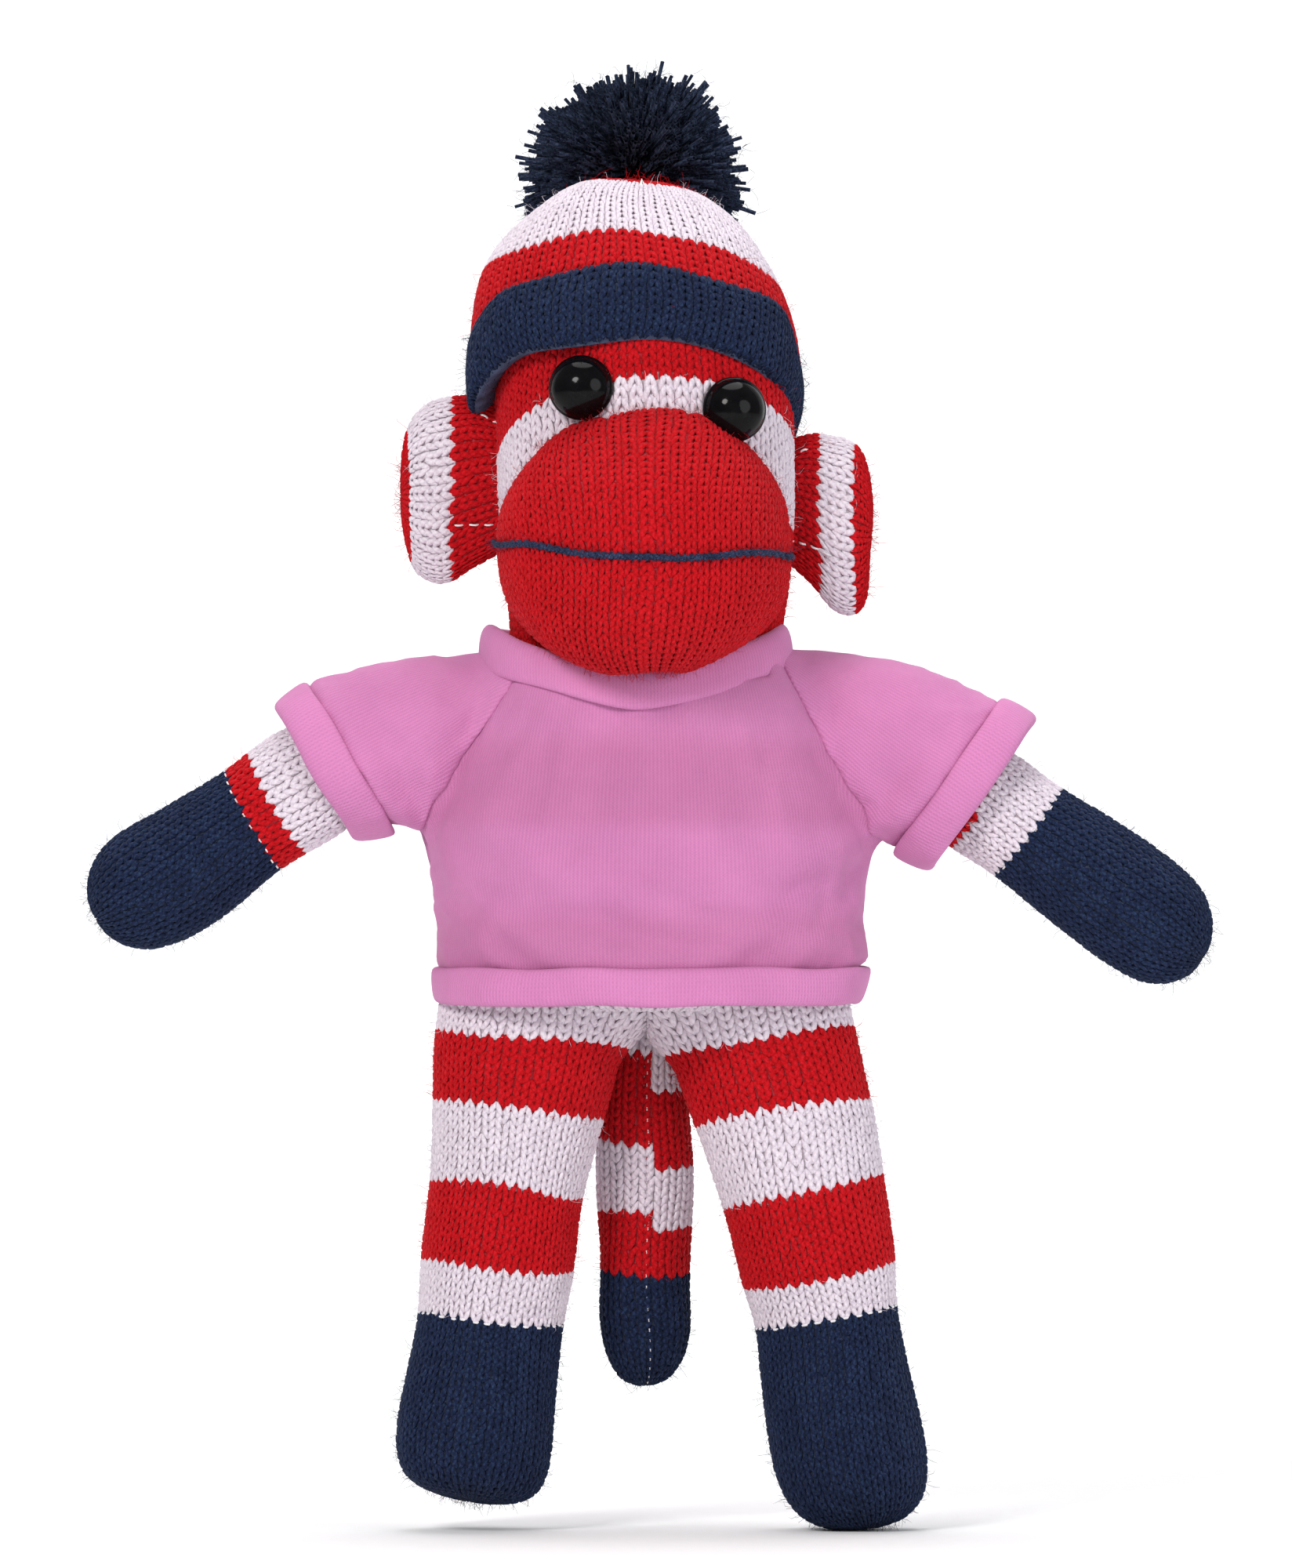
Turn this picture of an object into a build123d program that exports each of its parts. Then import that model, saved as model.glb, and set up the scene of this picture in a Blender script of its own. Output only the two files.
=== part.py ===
from build123d import *
from math import cos, radians, sin
import os

# Stuffed sock monkey in a T-shirt.  Millimetres, +Z up, the face looks along -Y, z = 0 at the
# lower foot's tip and x = 0 at mid-width.  "left" is the side at -X.

# Cloth and clearances
KNIT = 1.2          # thickness of the knitted skins
JERSEY = 1.2        # thickness of the shirt cloth
GAP = 0.4           # free space at every joint
EAR_THICK = 3.5

# Head, measured up from the neck pivot
NECK = Vector(-1, 0, 170)
NECK_BALL = 16
HEAD_SIDE = [(15, 0), (19.3, 3), (22.8, 8.5), (25.6, 16), (27.5, 27), (27.8, 44), (25.5, 58),
             (20.5, 69), (12.5, 77.5), (0, 81.5)]
HEAD_MIDDLE = 41
HEAD_RADIUS = 28
MUZZLE_CENTRE = Vector(-0.6, -29.8, 184)
MUZZLE_RADIUS = 25
MUZZLE_DEPTH = 16
MOUTH_DROP = 3.3
YARN = 0.9

# Eyes
EYE_RADIUS = 6
EYE_DOME = 4.6
SHAFT_RADIUS = 2
SHAFT_LENGTH = 12
WASHER_RADIUS = 5
EYE_LEFT = Vector(-12.4, -24.6, 212.6)
EYE_RIGHT = Vector(15.9, -22.3, 208.9)

# Ears, outlined in the front view
EAR_LEFT_EDGE = -31.2
EAR_LEFT = [(-31.2, 208.5), (-38, 208.2), (-43.6, 203.5), (-45.4, 192), (-44.4, 181),
            (-39, 176.3), (-33.5, 179), (-31.2, 184)]
EAR_RIGHT_EDGE = 29.2
EAR_RIGHT = [(29.2, 204), (35.5, 203), (40.2, 197), (41.3, 186), (41, 177), (38.3, 171.2),
             (32.5, 174.5), (29.2, 181)]

# Hat
HAT_CENTRE = Vector(-1, 0, 216.5)
HAT_AXIS = Vector(0.065, 0.375, 0.925)
CUFF_HEIGHT = 13
POMPOM_TIE = Vector(-3, 20.2, 247)
POMPOM_AXIS = Vector(0, 0.75, 0.66)
POMPOM_RADIUS = 22.5

# Torso and shirt: (z, half width, half depth)
TORSO = [(96.6, 33, 21), (108, 36.8, 23), (124, 38, 23.2), (138, 37.4, 22.4), (148, 34.5, 20.2),
         (156, 28, 18.6), (162, 21, 17.8), (166.5, 17.5, 17.4)]
HEM_BOTTOM = 98
HEM_TOP = 104
COLLAR_LOW = (150, 31.5, 23.2)
COLLAR_HIGH = (172, 27.2, 17.6)

# Limbs: pivot, slope below horizontal or tilt from vertical, then (distance, radius) stations
ARM_LEFT = Vector(-39, 0, 151)
ARM_RIGHT = Vector(40, 0, 151)
ARM_LEFT_SLOPE = 30.5
ARM_RIGHT_SLOPE = 35
ARM_LOW = 12
ARM_LEFT_TUBE = [(0, 10.6), (14, 10.8), (30, 10.6), (40, 10.8), (56, 11.5), (66, 10.4), (74, 0)]
ARM_RIGHT_TUBE = [(0, 10), (14, 10), (28, 9.8), (38, 9.9), (56, 11), (68, 10), (77, 0)]
ARM_LEFT_SEAM = 40
ARM_RIGHT_SEAM = 38
SLEEVE_RADIUS = 13.4
SLEEVE_LENGTH = 27
SLEEVE_BAND = 6

LEG_LEFT = Vector(-23.5, 0, 79)
LEG_RIGHT = Vector(24, 0, 79)
LEG_LEFT_TILT = 7.3
LEG_RIGHT_TILT = 10.6
LEG_LEFT_TUBE = [(0, 17), (16, 15.4), (40, 13.8), (54, 14.3), (67, 13.2), (75, 0)]
LEG_RIGHT_TUBE = [(0, 17), (16, 15.8), (40, 13.9), (62, 14.5), (73, 12.4), (80.3, 0)]
LEG_LEFT_SEAM = 40.5
LEG_RIGHT_SEAM = 41

TAIL = Vector(-0.6, 14, 87.8)
TAIL_TUBE = [(0, 8.3), (20, 8.3), (42, 8.3), (54, 7.4), (62, 0)]
TAIL_SEAM = 37.5
TAIL_TILT = 4


def stuffed_tube(pivot, direction, side, stations, inset=0.0):
    """A limb: a ball about its pivot, a tube through the stations, and a rounded tip."""
    ball = stations[0][1] - inset
    lean = ball * cos(radians(45))
    tip = (stations[-1][0] - inset, 0)
    wall = [(along, radius - inset) for along, radius in stations[:-1]]
    with BuildPart() as tube:
        with BuildSketch(Plane(origin=pivot, x_dir=direction, z_dir=side)):
            with BuildLine():
                ThreePointArc((-ball, 0), (-lean, lean), (0, ball))
                Spline(*wall, tip, tangents=((1, 0), (0, -1)))
                Line(tip, (-ball, 0))
            make_face()
        revolve(axis=Axis(pivot, direction))
    return tube.part


def head_form(grow):
    """The head's egg, grown or shrunk about its middle."""
    wide = 1 + grow / HEAD_RADIUS
    high = 1 + grow / HEAD_MIDDLE
    side = [(r * wide, HEAD_MIDDLE + (up - HEAD_MIDDLE) * high) for r, up in HEAD_SIDE]
    low = (0, side[0][1])
    with BuildPart() as egg:
        with BuildSketch(Plane(origin=NECK, x_dir=(1, 0, 0), z_dir=(0, -1, 0))):
            with BuildLine():
                Line(low, side[0])
                Spline(*side, tangents=((1, 0.6), (-1, 0)), tangent_scalars=(0.3, 0.5))
                Line(side[-1], low)
            make_face()
        revolve(axis=Axis(NECK, (0, 0, 1)))
    return egg.part


def muzzle_form(inset):
    """The muzzle's ball, squashed from front to back."""
    flat = (MUZZLE_DEPTH - inset) / (MUZZLE_RADIUS - inset)
    with BuildPart() as ball:
        Sphere(MUZZLE_RADIUS - inset)
        scale(by=(1, flat, 1))
    return ball.part.moved(Location(MUZZLE_CENTRE))


def torso_form(grow):
    """The torso's loft through its oval sections, grown outward all round."""
    with BuildPart() as trunk:
        for z, half_width, half_depth in TORSO:
            with BuildSketch(Plane.XY.offset(z)):
                Ellipse(half_width + grow, half_depth + grow)
        loft()
    return trunk.part


def collar_form(grow):
    """The tapering oval the neckband is cut from."""
    with BuildPart() as cone:
        for z, half_width, half_depth in (COLLAR_LOW, COLLAR_HIGH):
            with BuildSketch(Plane.XY.offset(z)):
                Ellipse(half_width + grow, half_depth + grow)
        loft()
    return cone.part


def ball_about(centre, radius):
    with BuildPart() as ball:
        with Locations(centre):
            Sphere(radius)
    return ball.part


def rod_from(start, direction, radius, length):
    with BuildPart() as rod:
        with BuildSketch(Plane(origin=start, z_dir=direction)):
            Circle(radius)
        extrude(amount=length)
    return rod.part


def save(piece, node):
    piece.part.label = node
    export_step(piece.part, "parts/" + node + ".step")


os.makedirs("parts", exist_ok=True)

# Directions of the limbs
arm_left_dir = Vector(-cos(radians(ARM_LEFT_SLOPE)), 0, -sin(radians(ARM_LEFT_SLOPE)))
arm_right_dir = Vector(cos(radians(ARM_RIGHT_SLOPE)), 0, -sin(radians(ARM_RIGHT_SLOPE)))
arm_left_low = ARM_LEFT_SLOPE + ARM_LOW
arm_right_low = ARM_RIGHT_SLOPE + ARM_LOW
arm_left_low_dir = Vector(-cos(radians(arm_left_low)), 0, -sin(radians(arm_left_low)))
arm_right_low_dir = Vector(cos(radians(arm_right_low)), 0, -sin(radians(arm_right_low)))
leg_left_dir = Vector(-sin(radians(LEG_LEFT_TILT)), 0, -cos(radians(LEG_LEFT_TILT)))
leg_right_dir = Vector(sin(radians(LEG_RIGHT_TILT)), 0, -cos(radians(LEG_RIGHT_TILT)))
tail_dir = Vector(0, sin(radians(TAIL_TILT)), -cos(radians(TAIL_TILT)))

# Shared tool shapes
neck_socket = ball_about(NECK, NECK_BALL + GAP)
sleeve_hollow = SLEEVE_RADIUS + GAP
shoulder_left = ball_about(ARM_LEFT, sleeve_hollow)
shoulder_right = ball_about(ARM_RIGHT, sleeve_hollow)
armpit_left = rod_from(ARM_LEFT, arm_left_low_dir, sleeve_hollow, 60)
armpit_right = rod_from(ARM_RIGHT, arm_right_low_dir, sleeve_hollow, 60)

head_outer = head_form(0)
head_inner = head_form(-KNIT)
muzzle_outer = muzzle_form(0)
muzzle_inner = muzzle_form(KNIT)
torso_outer = torso_form(0)
torso_inner = torso_form(-KNIT)
shirt_outer = torso_form(GAP + JERSEY)
shirt_inner = torso_form(GAP)
collar_outer = collar_form(0)
collar_inner = collar_form(-JERSEY)

# Eyes: a domed button, its shaft through the face, and the washer that locks it behind
eyes = {}
for side, seat, turn in (("left", EYE_LEFT, -12), ("right", EYE_RIGHT, 20)):
    outward = Vector(sin(radians(turn)), -cos(radians(turn)), 0)
    inward = outward * -1
    with BuildPart() as eye:
        with BuildSketch(Plane(origin=seat, x_dir=outward, z_dir=(0, 0, 1))):
            with BuildLine():
                Line((-1.8, 0), (EYE_DOME, 0))
                Spline((EYE_DOME, 0), (3.5, 3.5), (0.5, EYE_RADIUS), tangents=((0, 1), (-1, 0)))
                Line((0.5, EYE_RADIUS), (-0.4, EYE_RADIUS))
                Line((-0.4, EYE_RADIUS), (-1.8, 4.4))
                Line((-1.8, 4.4), (-1.8, 0))
            make_face()
        revolve(axis=Axis(seat, outward))
        with BuildSketch(Plane(origin=seat, z_dir=inward)):
            Circle(SHAFT_RADIUS)
        extrude(amount=SHAFT_LENGTH)
    with BuildPart() as washer:
        with BuildSketch(Plane(origin=seat + inward * 7.5, z_dir=inward)):
            Circle(WASHER_RADIUS)
            Circle(SHAFT_RADIUS, mode=Mode.SUBTRACT)
        extrude(amount=1.2)
    save(eye, "eye_" + side)
    save(washer, "eye_washer_" + side)
    eyes[side] = [eye.part, washer.part]
eye_pieces = eyes["left"] + eyes["right"]

# Head and muzzle
with BuildPart() as head_skin:
    add(head_outer)
    add(head_inner, mode=Mode.SUBTRACT)
    add(neck_socket, mode=Mode.SUBTRACT)
    add(eye_pieces, mode=Mode.SUBTRACT)
save(head_skin, "head_skin")

with BuildPart() as head_stuffing:
    add(head_inner)
    add(neck_socket, mode=Mode.SUBTRACT)
    add(eye_pieces, mode=Mode.SUBTRACT)
save(head_stuffing, "head_stuffing")

with BuildPart() as muzzle_skin:
    add(muzzle_outer)
    add(muzzle_inner, mode=Mode.SUBTRACT)
    add(head_outer, mode=Mode.SUBTRACT)
    add(eye_pieces, mode=Mode.SUBTRACT)
save(muzzle_skin, "muzzle_skin")

with BuildPart() as muzzle_stuffing:
    add(muzzle_inner)
    add(head_outer, mode=Mode.SUBTRACT)
    add(eye_pieces, mode=Mode.SUBTRACT)
save(muzzle_stuffing, "muzzle_stuffing")

# The mouth: one strand of yarn laid across the muzzle, a little below its middle
mouth_centre = MUZZLE_CENTRE - Vector(0, 0, MOUTH_DROP)
mouth_depth = MUZZLE_DEPTH + YARN + 0.2
mouth_half = MUZZLE_RADIUS + YARN - 0.02
with BuildPart() as mouth_yarn:
    with BuildLine(Plane(origin=mouth_centre, x_dir=(1, 0, 0), z_dir=(0, 0, 1))) as mouth_path:
        EllipticalCenterArc((0, 0), mouth_half, mouth_depth, 195, arc_size=150)
    with BuildSketch(Plane(origin=mouth_path.line @ 0, z_dir=mouth_path.line % 0)):
        Circle(YARN)
    sweep()
save(mouth_yarn, "mouth_yarn")

# Ears: flat knitted pads, rolled about the edge they are sewn on by
for side, edge, outline in (("left", EAR_LEFT_EDGE, EAR_LEFT), ("right", EAR_RIGHT_EDGE, EAR_RIGHT)):
    with BuildPart() as ear:
        with BuildSketch(Plane.XZ):
            with BuildLine():
                Spline(*outline)
                Line(outline[-1], outline[0])
            make_face()
        extrude(amount=EAR_THICK / 2, both=True)
        with BuildSketch(Plane.XY.offset(outline[-1][1])):
            with Locations((edge, 0)):
                Circle(EAR_THICK / 2)
        extrude(amount=outline[0][1] - outline[-1][1])
    save(ear, "ear_" + side)

# Hat: a crown over the head and the turned-up cuff round it, both tilted back
with BuildPart() as hat_crown:
    add(head_form(2.0))
    add(head_form(0.3), mode=Mode.SUBTRACT)
    split(bisect_by=Plane(origin=HAT_CENTRE - HAT_AXIS * 4, z_dir=HAT_AXIS), keep=Keep.TOP)
save(hat_crown, "hat_crown")

with BuildPart() as hat_cuff:
    add(head_form(4.6))
    add(head_form(2.1), mode=Mode.SUBTRACT)
    split(bisect_by=Plane(origin=HAT_CENTRE - HAT_AXIS * 6, z_dir=HAT_AXIS), keep=Keep.TOP)
    split(bisect_by=Plane(origin=HAT_CENTRE + HAT_AXIS * (CUFF_HEIGHT - 7), z_dir=HAT_AXIS),
          keep=Keep.BOTTOM)
save(hat_cuff, "hat_cuff")

# Pompom: a flattened ball of yarn with a coned base, held by a knot at the crown
pompom_plane = Plane(origin=POMPOM_TIE, x_dir=(1, 0, 0), z_dir=(0, -0.66, 0.75))
with BuildPart() as pompom_tie:
    add(ball_about(POMPOM_TIE, 1.8))
save(pompom_tie, "pompom_tie")

with BuildPart() as pompom:
    with BuildSketch(pompom_plane):
        with BuildLine():
            Line((0, 0.5), (3, 0.5))
            Spline((3, 0.5), (14, 2), (20.5, 6.5), (POMPOM_RADIUS, 13), (20, 20), (11, 26), (0, 27.5),
                   tangents=((1, 0.1), (-1, 0)), tangent_scalars=(0.4, 0.5))
            Line((0, 27.5), (0, 0.5))
        make_face()
    revolve(axis=Axis(POMPOM_TIE, POMPOM_AXIS))
    add(pompom_tie.part, mode=Mode.SUBTRACT)
save(pompom, "pompom")

# Neck: a small tied ball between the head and the torso
with BuildPart() as neck_thread:
    with BuildSketch(Plane(origin=NECK, x_dir=(1, 0, 0), z_dir=(0, -1, 0))):
        with Locations((NECK_BALL - 0.6, 0)):
            Circle(0.5)
    revolve(axis=Axis(NECK, (0, 0, 1)))
save(neck_thread, "neck_thread")

with BuildPart() as neck_skin:
    add(ball_about(NECK, NECK_BALL))
    add(ball_about(NECK, NECK_BALL - KNIT), mode=Mode.SUBTRACT)
    add(neck_thread.part, mode=Mode.SUBTRACT)
save(neck_skin, "neck_skin")

with BuildPart() as neck_stuffing:
    add(ball_about(NECK, NECK_BALL - KNIT))
    add(neck_thread.part, mode=Mode.SUBTRACT)
save(neck_stuffing, "neck_stuffing")

# Torso
torso_cutters = [neck_socket, shoulder_left, shoulder_right, armpit_left, armpit_right]
with BuildPart() as body_skin:
    add(torso_outer)
    add(torso_inner, mode=Mode.SUBTRACT)
    add(torso_cutters, mode=Mode.SUBTRACT)
save(body_skin, "body_skin")

with BuildPart() as body_stuffing:
    add(torso_inner)
    add(torso_cutters, mode=Mode.SUBTRACT)
save(body_stuffing, "body_stuffing")

# Shirt: front and back panels, hem and neckband
shirt_cutters = [collar_outer, shoulder_left, shoulder_right, armpit_left, armpit_right]
for node, keep in (("shirt_front", Keep.TOP), ("shirt_back", Keep.BOTTOM)):
    with BuildPart() as panel:
        add(shirt_outer)
        add(shirt_inner, mode=Mode.SUBTRACT)
        add(shirt_cutters, mode=Mode.SUBTRACT)
        split(bisect_by=Plane.XZ, keep=keep)
        split(bisect_by=Plane.XY.offset(HEM_TOP), keep=Keep.TOP)
    save(panel, node)

with BuildPart() as hem_band:
    add(shirt_outer)
    add(shirt_inner, mode=Mode.SUBTRACT)
    split(bisect_by=Plane.XY.offset(HEM_BOTTOM), keep=Keep.TOP)
    split(bisect_by=Plane.XY.offset(HEM_TOP), keep=Keep.BOTTOM)
save(hem_band, "hem_band")

with BuildPart() as neckband_front:
    with BuildSketch(Plane.XZ):
        with BuildLine():
            Spline((-33, 160.5), (0, 152.6), (33, 160.5))
            Line((33, 160.5), (33, 169))
            Spline((33, 169), (24, 162), (0, 157.5), (-24, 162), (-33, 169))
            Line((-33, 169), (-33, 160.5))
        make_face()
    extrude(amount=30)
with BuildPart() as neckband_back:
    with BuildSketch(Plane.XZ):
        with BuildLine():
            Spline((-33, 160.5), (0, 157.5), (33, 160.5))
            Line((33, 160.5), (33, 169))
            Spline((33, 169), (0, 163.5), (-33, 169))
            Line((-33, 169), (-33, 160.5))
        make_face()
    extrude(amount=-30)
with BuildPart() as neckband:
    add(neckband_front.part)
    add(neckband_back.part)
    add(collar_outer, mode=Mode.INTERSECT)
    add(collar_inner, mode=Mode.SUBTRACT)
    add(torso_outer, mode=Mode.SUBTRACT)
    add([shoulder_left, shoulder_right], mode=Mode.SUBTRACT)
save(neckband, "neckband")

# Arms with hands and sleeves
arm_table = (
    ("left", ARM_LEFT, arm_left_dir, ARM_LEFT_TUBE, ARM_LEFT_SEAM),
    ("right", ARM_RIGHT, arm_right_dir, ARM_RIGHT_TUBE, ARM_RIGHT_SEAM),
)
for side, pivot, direction, tube, seam in arm_table:
    arm_outer = stuffed_tube(pivot, direction, (0, 1, 0), tube)
    arm_inner = stuffed_tube(pivot, direction, (0, 1, 0), tube, KNIT)
    seam_plane = Plane(origin=pivot + direction * seam, z_dir=direction)
    with BuildPart() as arm_skin:
        add(arm_outer)
        add(arm_inner, mode=Mode.SUBTRACT)
        split(bisect_by=seam_plane, keep=Keep.BOTTOM)
    save(arm_skin, "arm_skin_" + side)
    with BuildPart() as hand_skin:
        add(arm_outer)
        add(arm_inner, mode=Mode.SUBTRACT)
        split(bisect_by=seam_plane, keep=Keep.TOP)
    save(hand_skin, "hand_skin_" + side)
    with BuildPart() as arm_stuffing:
        add(arm_inner)
    save(arm_stuffing, "arm_stuffing_" + side)

    sleeve_tube = [(0, SLEEVE_RADIUS), (14, SLEEVE_RADIUS), (SLEEVE_LENGTH, 13.2), (60, 0)]
    sleeve_outer = stuffed_tube(pivot, direction, (0, 1, 0), sleeve_tube)
    sleeve_inner = stuffed_tube(pivot, direction, (0, 1, 0), sleeve_tube, JERSEY)
    band_plane = Plane(origin=pivot + direction * (SLEEVE_LENGTH - SLEEVE_BAND), z_dir=direction)
    cuff_plane = Plane(origin=pivot + direction * SLEEVE_LENGTH, z_dir=direction)
    with BuildPart() as sleeve:
        add(sleeve_outer)
        add(sleeve_inner, mode=Mode.SUBTRACT)
        split(bisect_by=band_plane, keep=Keep.BOTTOM)
    save(sleeve, "sleeve_" + side)
    with BuildPart() as cuff:
        add(sleeve_outer)
        add(sleeve_inner, mode=Mode.SUBTRACT)
        split(bisect_by=band_plane, keep=Keep.TOP)
        split(bisect_by=cuff_plane, keep=Keep.BOTTOM)
    save(cuff, "sleeve_cuff_" + side)

# Legs with feet
leg_table = (
    ("left", LEG_LEFT, leg_left_dir, LEG_LEFT_TUBE, LEG_LEFT_SEAM),
    ("right", LEG_RIGHT, leg_right_dir, LEG_RIGHT_TUBE, LEG_RIGHT_SEAM),
)
for side, pivot, direction, tube, seam in leg_table:
    leg_outer = stuffed_tube(pivot, direction, (0, 1, 0), tube)
    leg_inner = stuffed_tube(pivot, direction, (0, 1, 0), tube, KNIT)
    seam_plane = Plane(origin=pivot + direction * seam, z_dir=direction)
    with BuildPart() as leg_skin:
        add(leg_outer)
        add(leg_inner, mode=Mode.SUBTRACT)
        split(bisect_by=seam_plane, keep=Keep.BOTTOM)
    save(leg_skin, "leg_skin_" + side)
    with BuildPart() as foot_skin:
        add(leg_outer)
        add(leg_inner, mode=Mode.SUBTRACT)
        split(bisect_by=seam_plane, keep=Keep.TOP)
    save(foot_skin, "foot_skin_" + side)
    with BuildPart() as leg_stuffing:
        add(leg_inner)
    save(leg_stuffing, "leg_stuffing_" + side)

# Tail
tail_outer = stuffed_tube(TAIL, tail_dir, (1, 0, 0), TAIL_TUBE)
tail_inner = stuffed_tube(TAIL, tail_dir, (1, 0, 0), TAIL_TUBE, KNIT)
tail_plane = Plane(origin=TAIL + tail_dir * TAIL_SEAM, z_dir=tail_dir)
with BuildPart() as tail_skin:
    add(tail_outer)
    add(tail_inner, mode=Mode.SUBTRACT)
    split(bisect_by=tail_plane, keep=Keep.BOTTOM)
save(tail_skin, "tail_skin")

with BuildPart() as tail_tip:
    add(tail_outer)
    add(tail_inner, mode=Mode.SUBTRACT)
    split(bisect_by=tail_plane, keep=Keep.TOP)
save(tail_tip, "tail_tip")

with BuildPart() as tail_stuffing:
    add(tail_inner)
save(tail_stuffing, "tail_stuffing")
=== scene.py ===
import math
import bmesh
import bpy
import numpy as np
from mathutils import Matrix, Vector


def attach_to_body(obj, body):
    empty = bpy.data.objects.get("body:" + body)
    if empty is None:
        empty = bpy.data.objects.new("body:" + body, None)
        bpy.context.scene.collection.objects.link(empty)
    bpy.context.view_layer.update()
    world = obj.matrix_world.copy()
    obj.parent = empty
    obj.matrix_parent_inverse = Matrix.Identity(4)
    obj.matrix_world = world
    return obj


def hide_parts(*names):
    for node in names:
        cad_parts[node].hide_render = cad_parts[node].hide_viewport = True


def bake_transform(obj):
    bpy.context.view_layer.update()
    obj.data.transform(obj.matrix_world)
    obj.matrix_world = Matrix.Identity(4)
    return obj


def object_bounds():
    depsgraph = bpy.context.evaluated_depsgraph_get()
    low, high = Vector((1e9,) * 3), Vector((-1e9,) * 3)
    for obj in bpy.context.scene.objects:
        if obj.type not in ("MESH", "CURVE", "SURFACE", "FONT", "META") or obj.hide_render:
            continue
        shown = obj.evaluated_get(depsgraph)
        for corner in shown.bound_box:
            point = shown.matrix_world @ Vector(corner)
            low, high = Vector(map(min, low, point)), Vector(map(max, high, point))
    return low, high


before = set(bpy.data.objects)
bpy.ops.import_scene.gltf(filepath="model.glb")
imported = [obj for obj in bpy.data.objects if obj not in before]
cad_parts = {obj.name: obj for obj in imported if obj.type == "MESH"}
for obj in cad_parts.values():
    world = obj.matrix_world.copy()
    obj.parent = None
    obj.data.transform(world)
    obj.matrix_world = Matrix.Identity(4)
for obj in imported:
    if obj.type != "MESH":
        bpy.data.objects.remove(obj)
cad_low, cad_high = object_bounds()

# Lengths are in millimetres until a mesh is made.
MM = 0.001
TURN = 2 * math.pi
X, Y, Z = np.eye(3)
WALE = 2.9       # width of one knitted column
COURSE = 1.65    # height of one knitted row
BACKING = 0.22   # how far the cloth lies behind its stitches
RED, WHITE, NAVY, THREAD = 0, 1, 2, 3
GROUND = 4       # added to a colour for the cloth seen between its stitches; under white yarn it is darkened as painted shade of the gaps
rng = np.random.default_rng(7)


# ---------------------------------------------------------------- materials
class Tree:
    """A node tree, with short ways to add the nodes used here."""

    def __init__(self, tree):
        self.nodes, self.links = tree.nodes, tree.links

    def math(self, op, *values):
        node = self.nodes.new("ShaderNodeMath")
        node.operation = op
        for socket, value in zip(node.inputs, values):
            if isinstance(value, (int, float)):
                socket.default_value = value
            else:
                self.links.new(value, socket)
        return node.outputs[0]

    def plus(self, a, b):
        return self.math("ADD", a, b)

    def times(self, a, b):
        return self.math("MULTIPLY", a, b)

    def axes(self, vector):
        split = self.nodes.new("ShaderNodeSeparateXYZ")
        self.links.new(vector, split.inputs[0])
        return split.outputs


class Surface(Tree):
    """A new material, with its shader's inputs and its texture coordinates."""

    def __init__(self, name, roughness, specular, sheen=0.0):
        self.mat = bpy.data.materials.new(name)
        self.mat.use_nodes = True
        super().__init__(self.mat.node_tree)
        self.shader = self.nodes["Principled BSDF"].inputs
        self.coords = self.nodes.new("ShaderNodeTexCoord").outputs
        for key, value in (("Roughness", roughness), ("Specular IOR Level", specular),
                           ("Sheen Weight", sheen), ("Sheen Roughness", 0.5)):
            self.shader[key].default_value = value

    def noise(self, scale, detail=3.0):
        tex = self.nodes.new("ShaderNodeTexNoise")
        tex.inputs["Scale"].default_value = scale
        tex.inputs["Detail"].default_value = detail
        self.links.new(self.coords["Object"], tex.inputs["Vector"])
        return tex.outputs["Fac"]

    def ramp(self, fac, stops):
        node = self.nodes.new("ShaderNodeValToRGB")
        while len(node.color_ramp.elements) < len(stops):
            node.color_ramp.elements.new(0.5)
        for element, (place, colour) in zip(node.color_ramp.elements, stops):
            element.position = place
            element.color = (*colour, 1)
        self.links.new(fac, node.inputs["Fac"])
        return node.outputs["Color"]

    def bump(self, height, strength):
        node = self.nodes.new("ShaderNodeBump")
        node.inputs["Strength"].default_value = strength
        node.inputs["Distance"].default_value = 0.0002
        self.links.new(height, node.inputs["Height"])
        self.links.new(node.outputs[0], self.shader["Normal"])


def yarn_material(name, dark, light, pale):
    """Spun yarn: two plies twisted along the strand's UV, and a fibre mottle; the twist also darkens the
    colour in the grooves between the plies, as painted shade.
    """
    s = Surface(name, 0.85, 0.12, sheen=0.03)
    u, v, _ = s.axes(s.coords["UV"])
    twist = s.math("SINE", s.plus(s.times(u, TURN * 3), s.times(v, TURN * 2)))
    mix = s.plus(s.plus(s.times(twist, 0.10), s.noise(2600, 4)), s.times(s.noise(320), 0.35))
    mix = s.math("SUBTRACT", mix, 0.17)
    # The colour follows the random fibre mottle and, through the twist, painted shade in the ply grooves.
    s.links.new(s.ramp(mix, [(0.28, dark), (0.52, light), (0.80, pale)]), s.shader["Base Color"])
    s.bump(mix, 0.5)
    return s.mat


SHEER_TOP = 200    # the sheer tints are placed on a scale from the ground to this height


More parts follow.
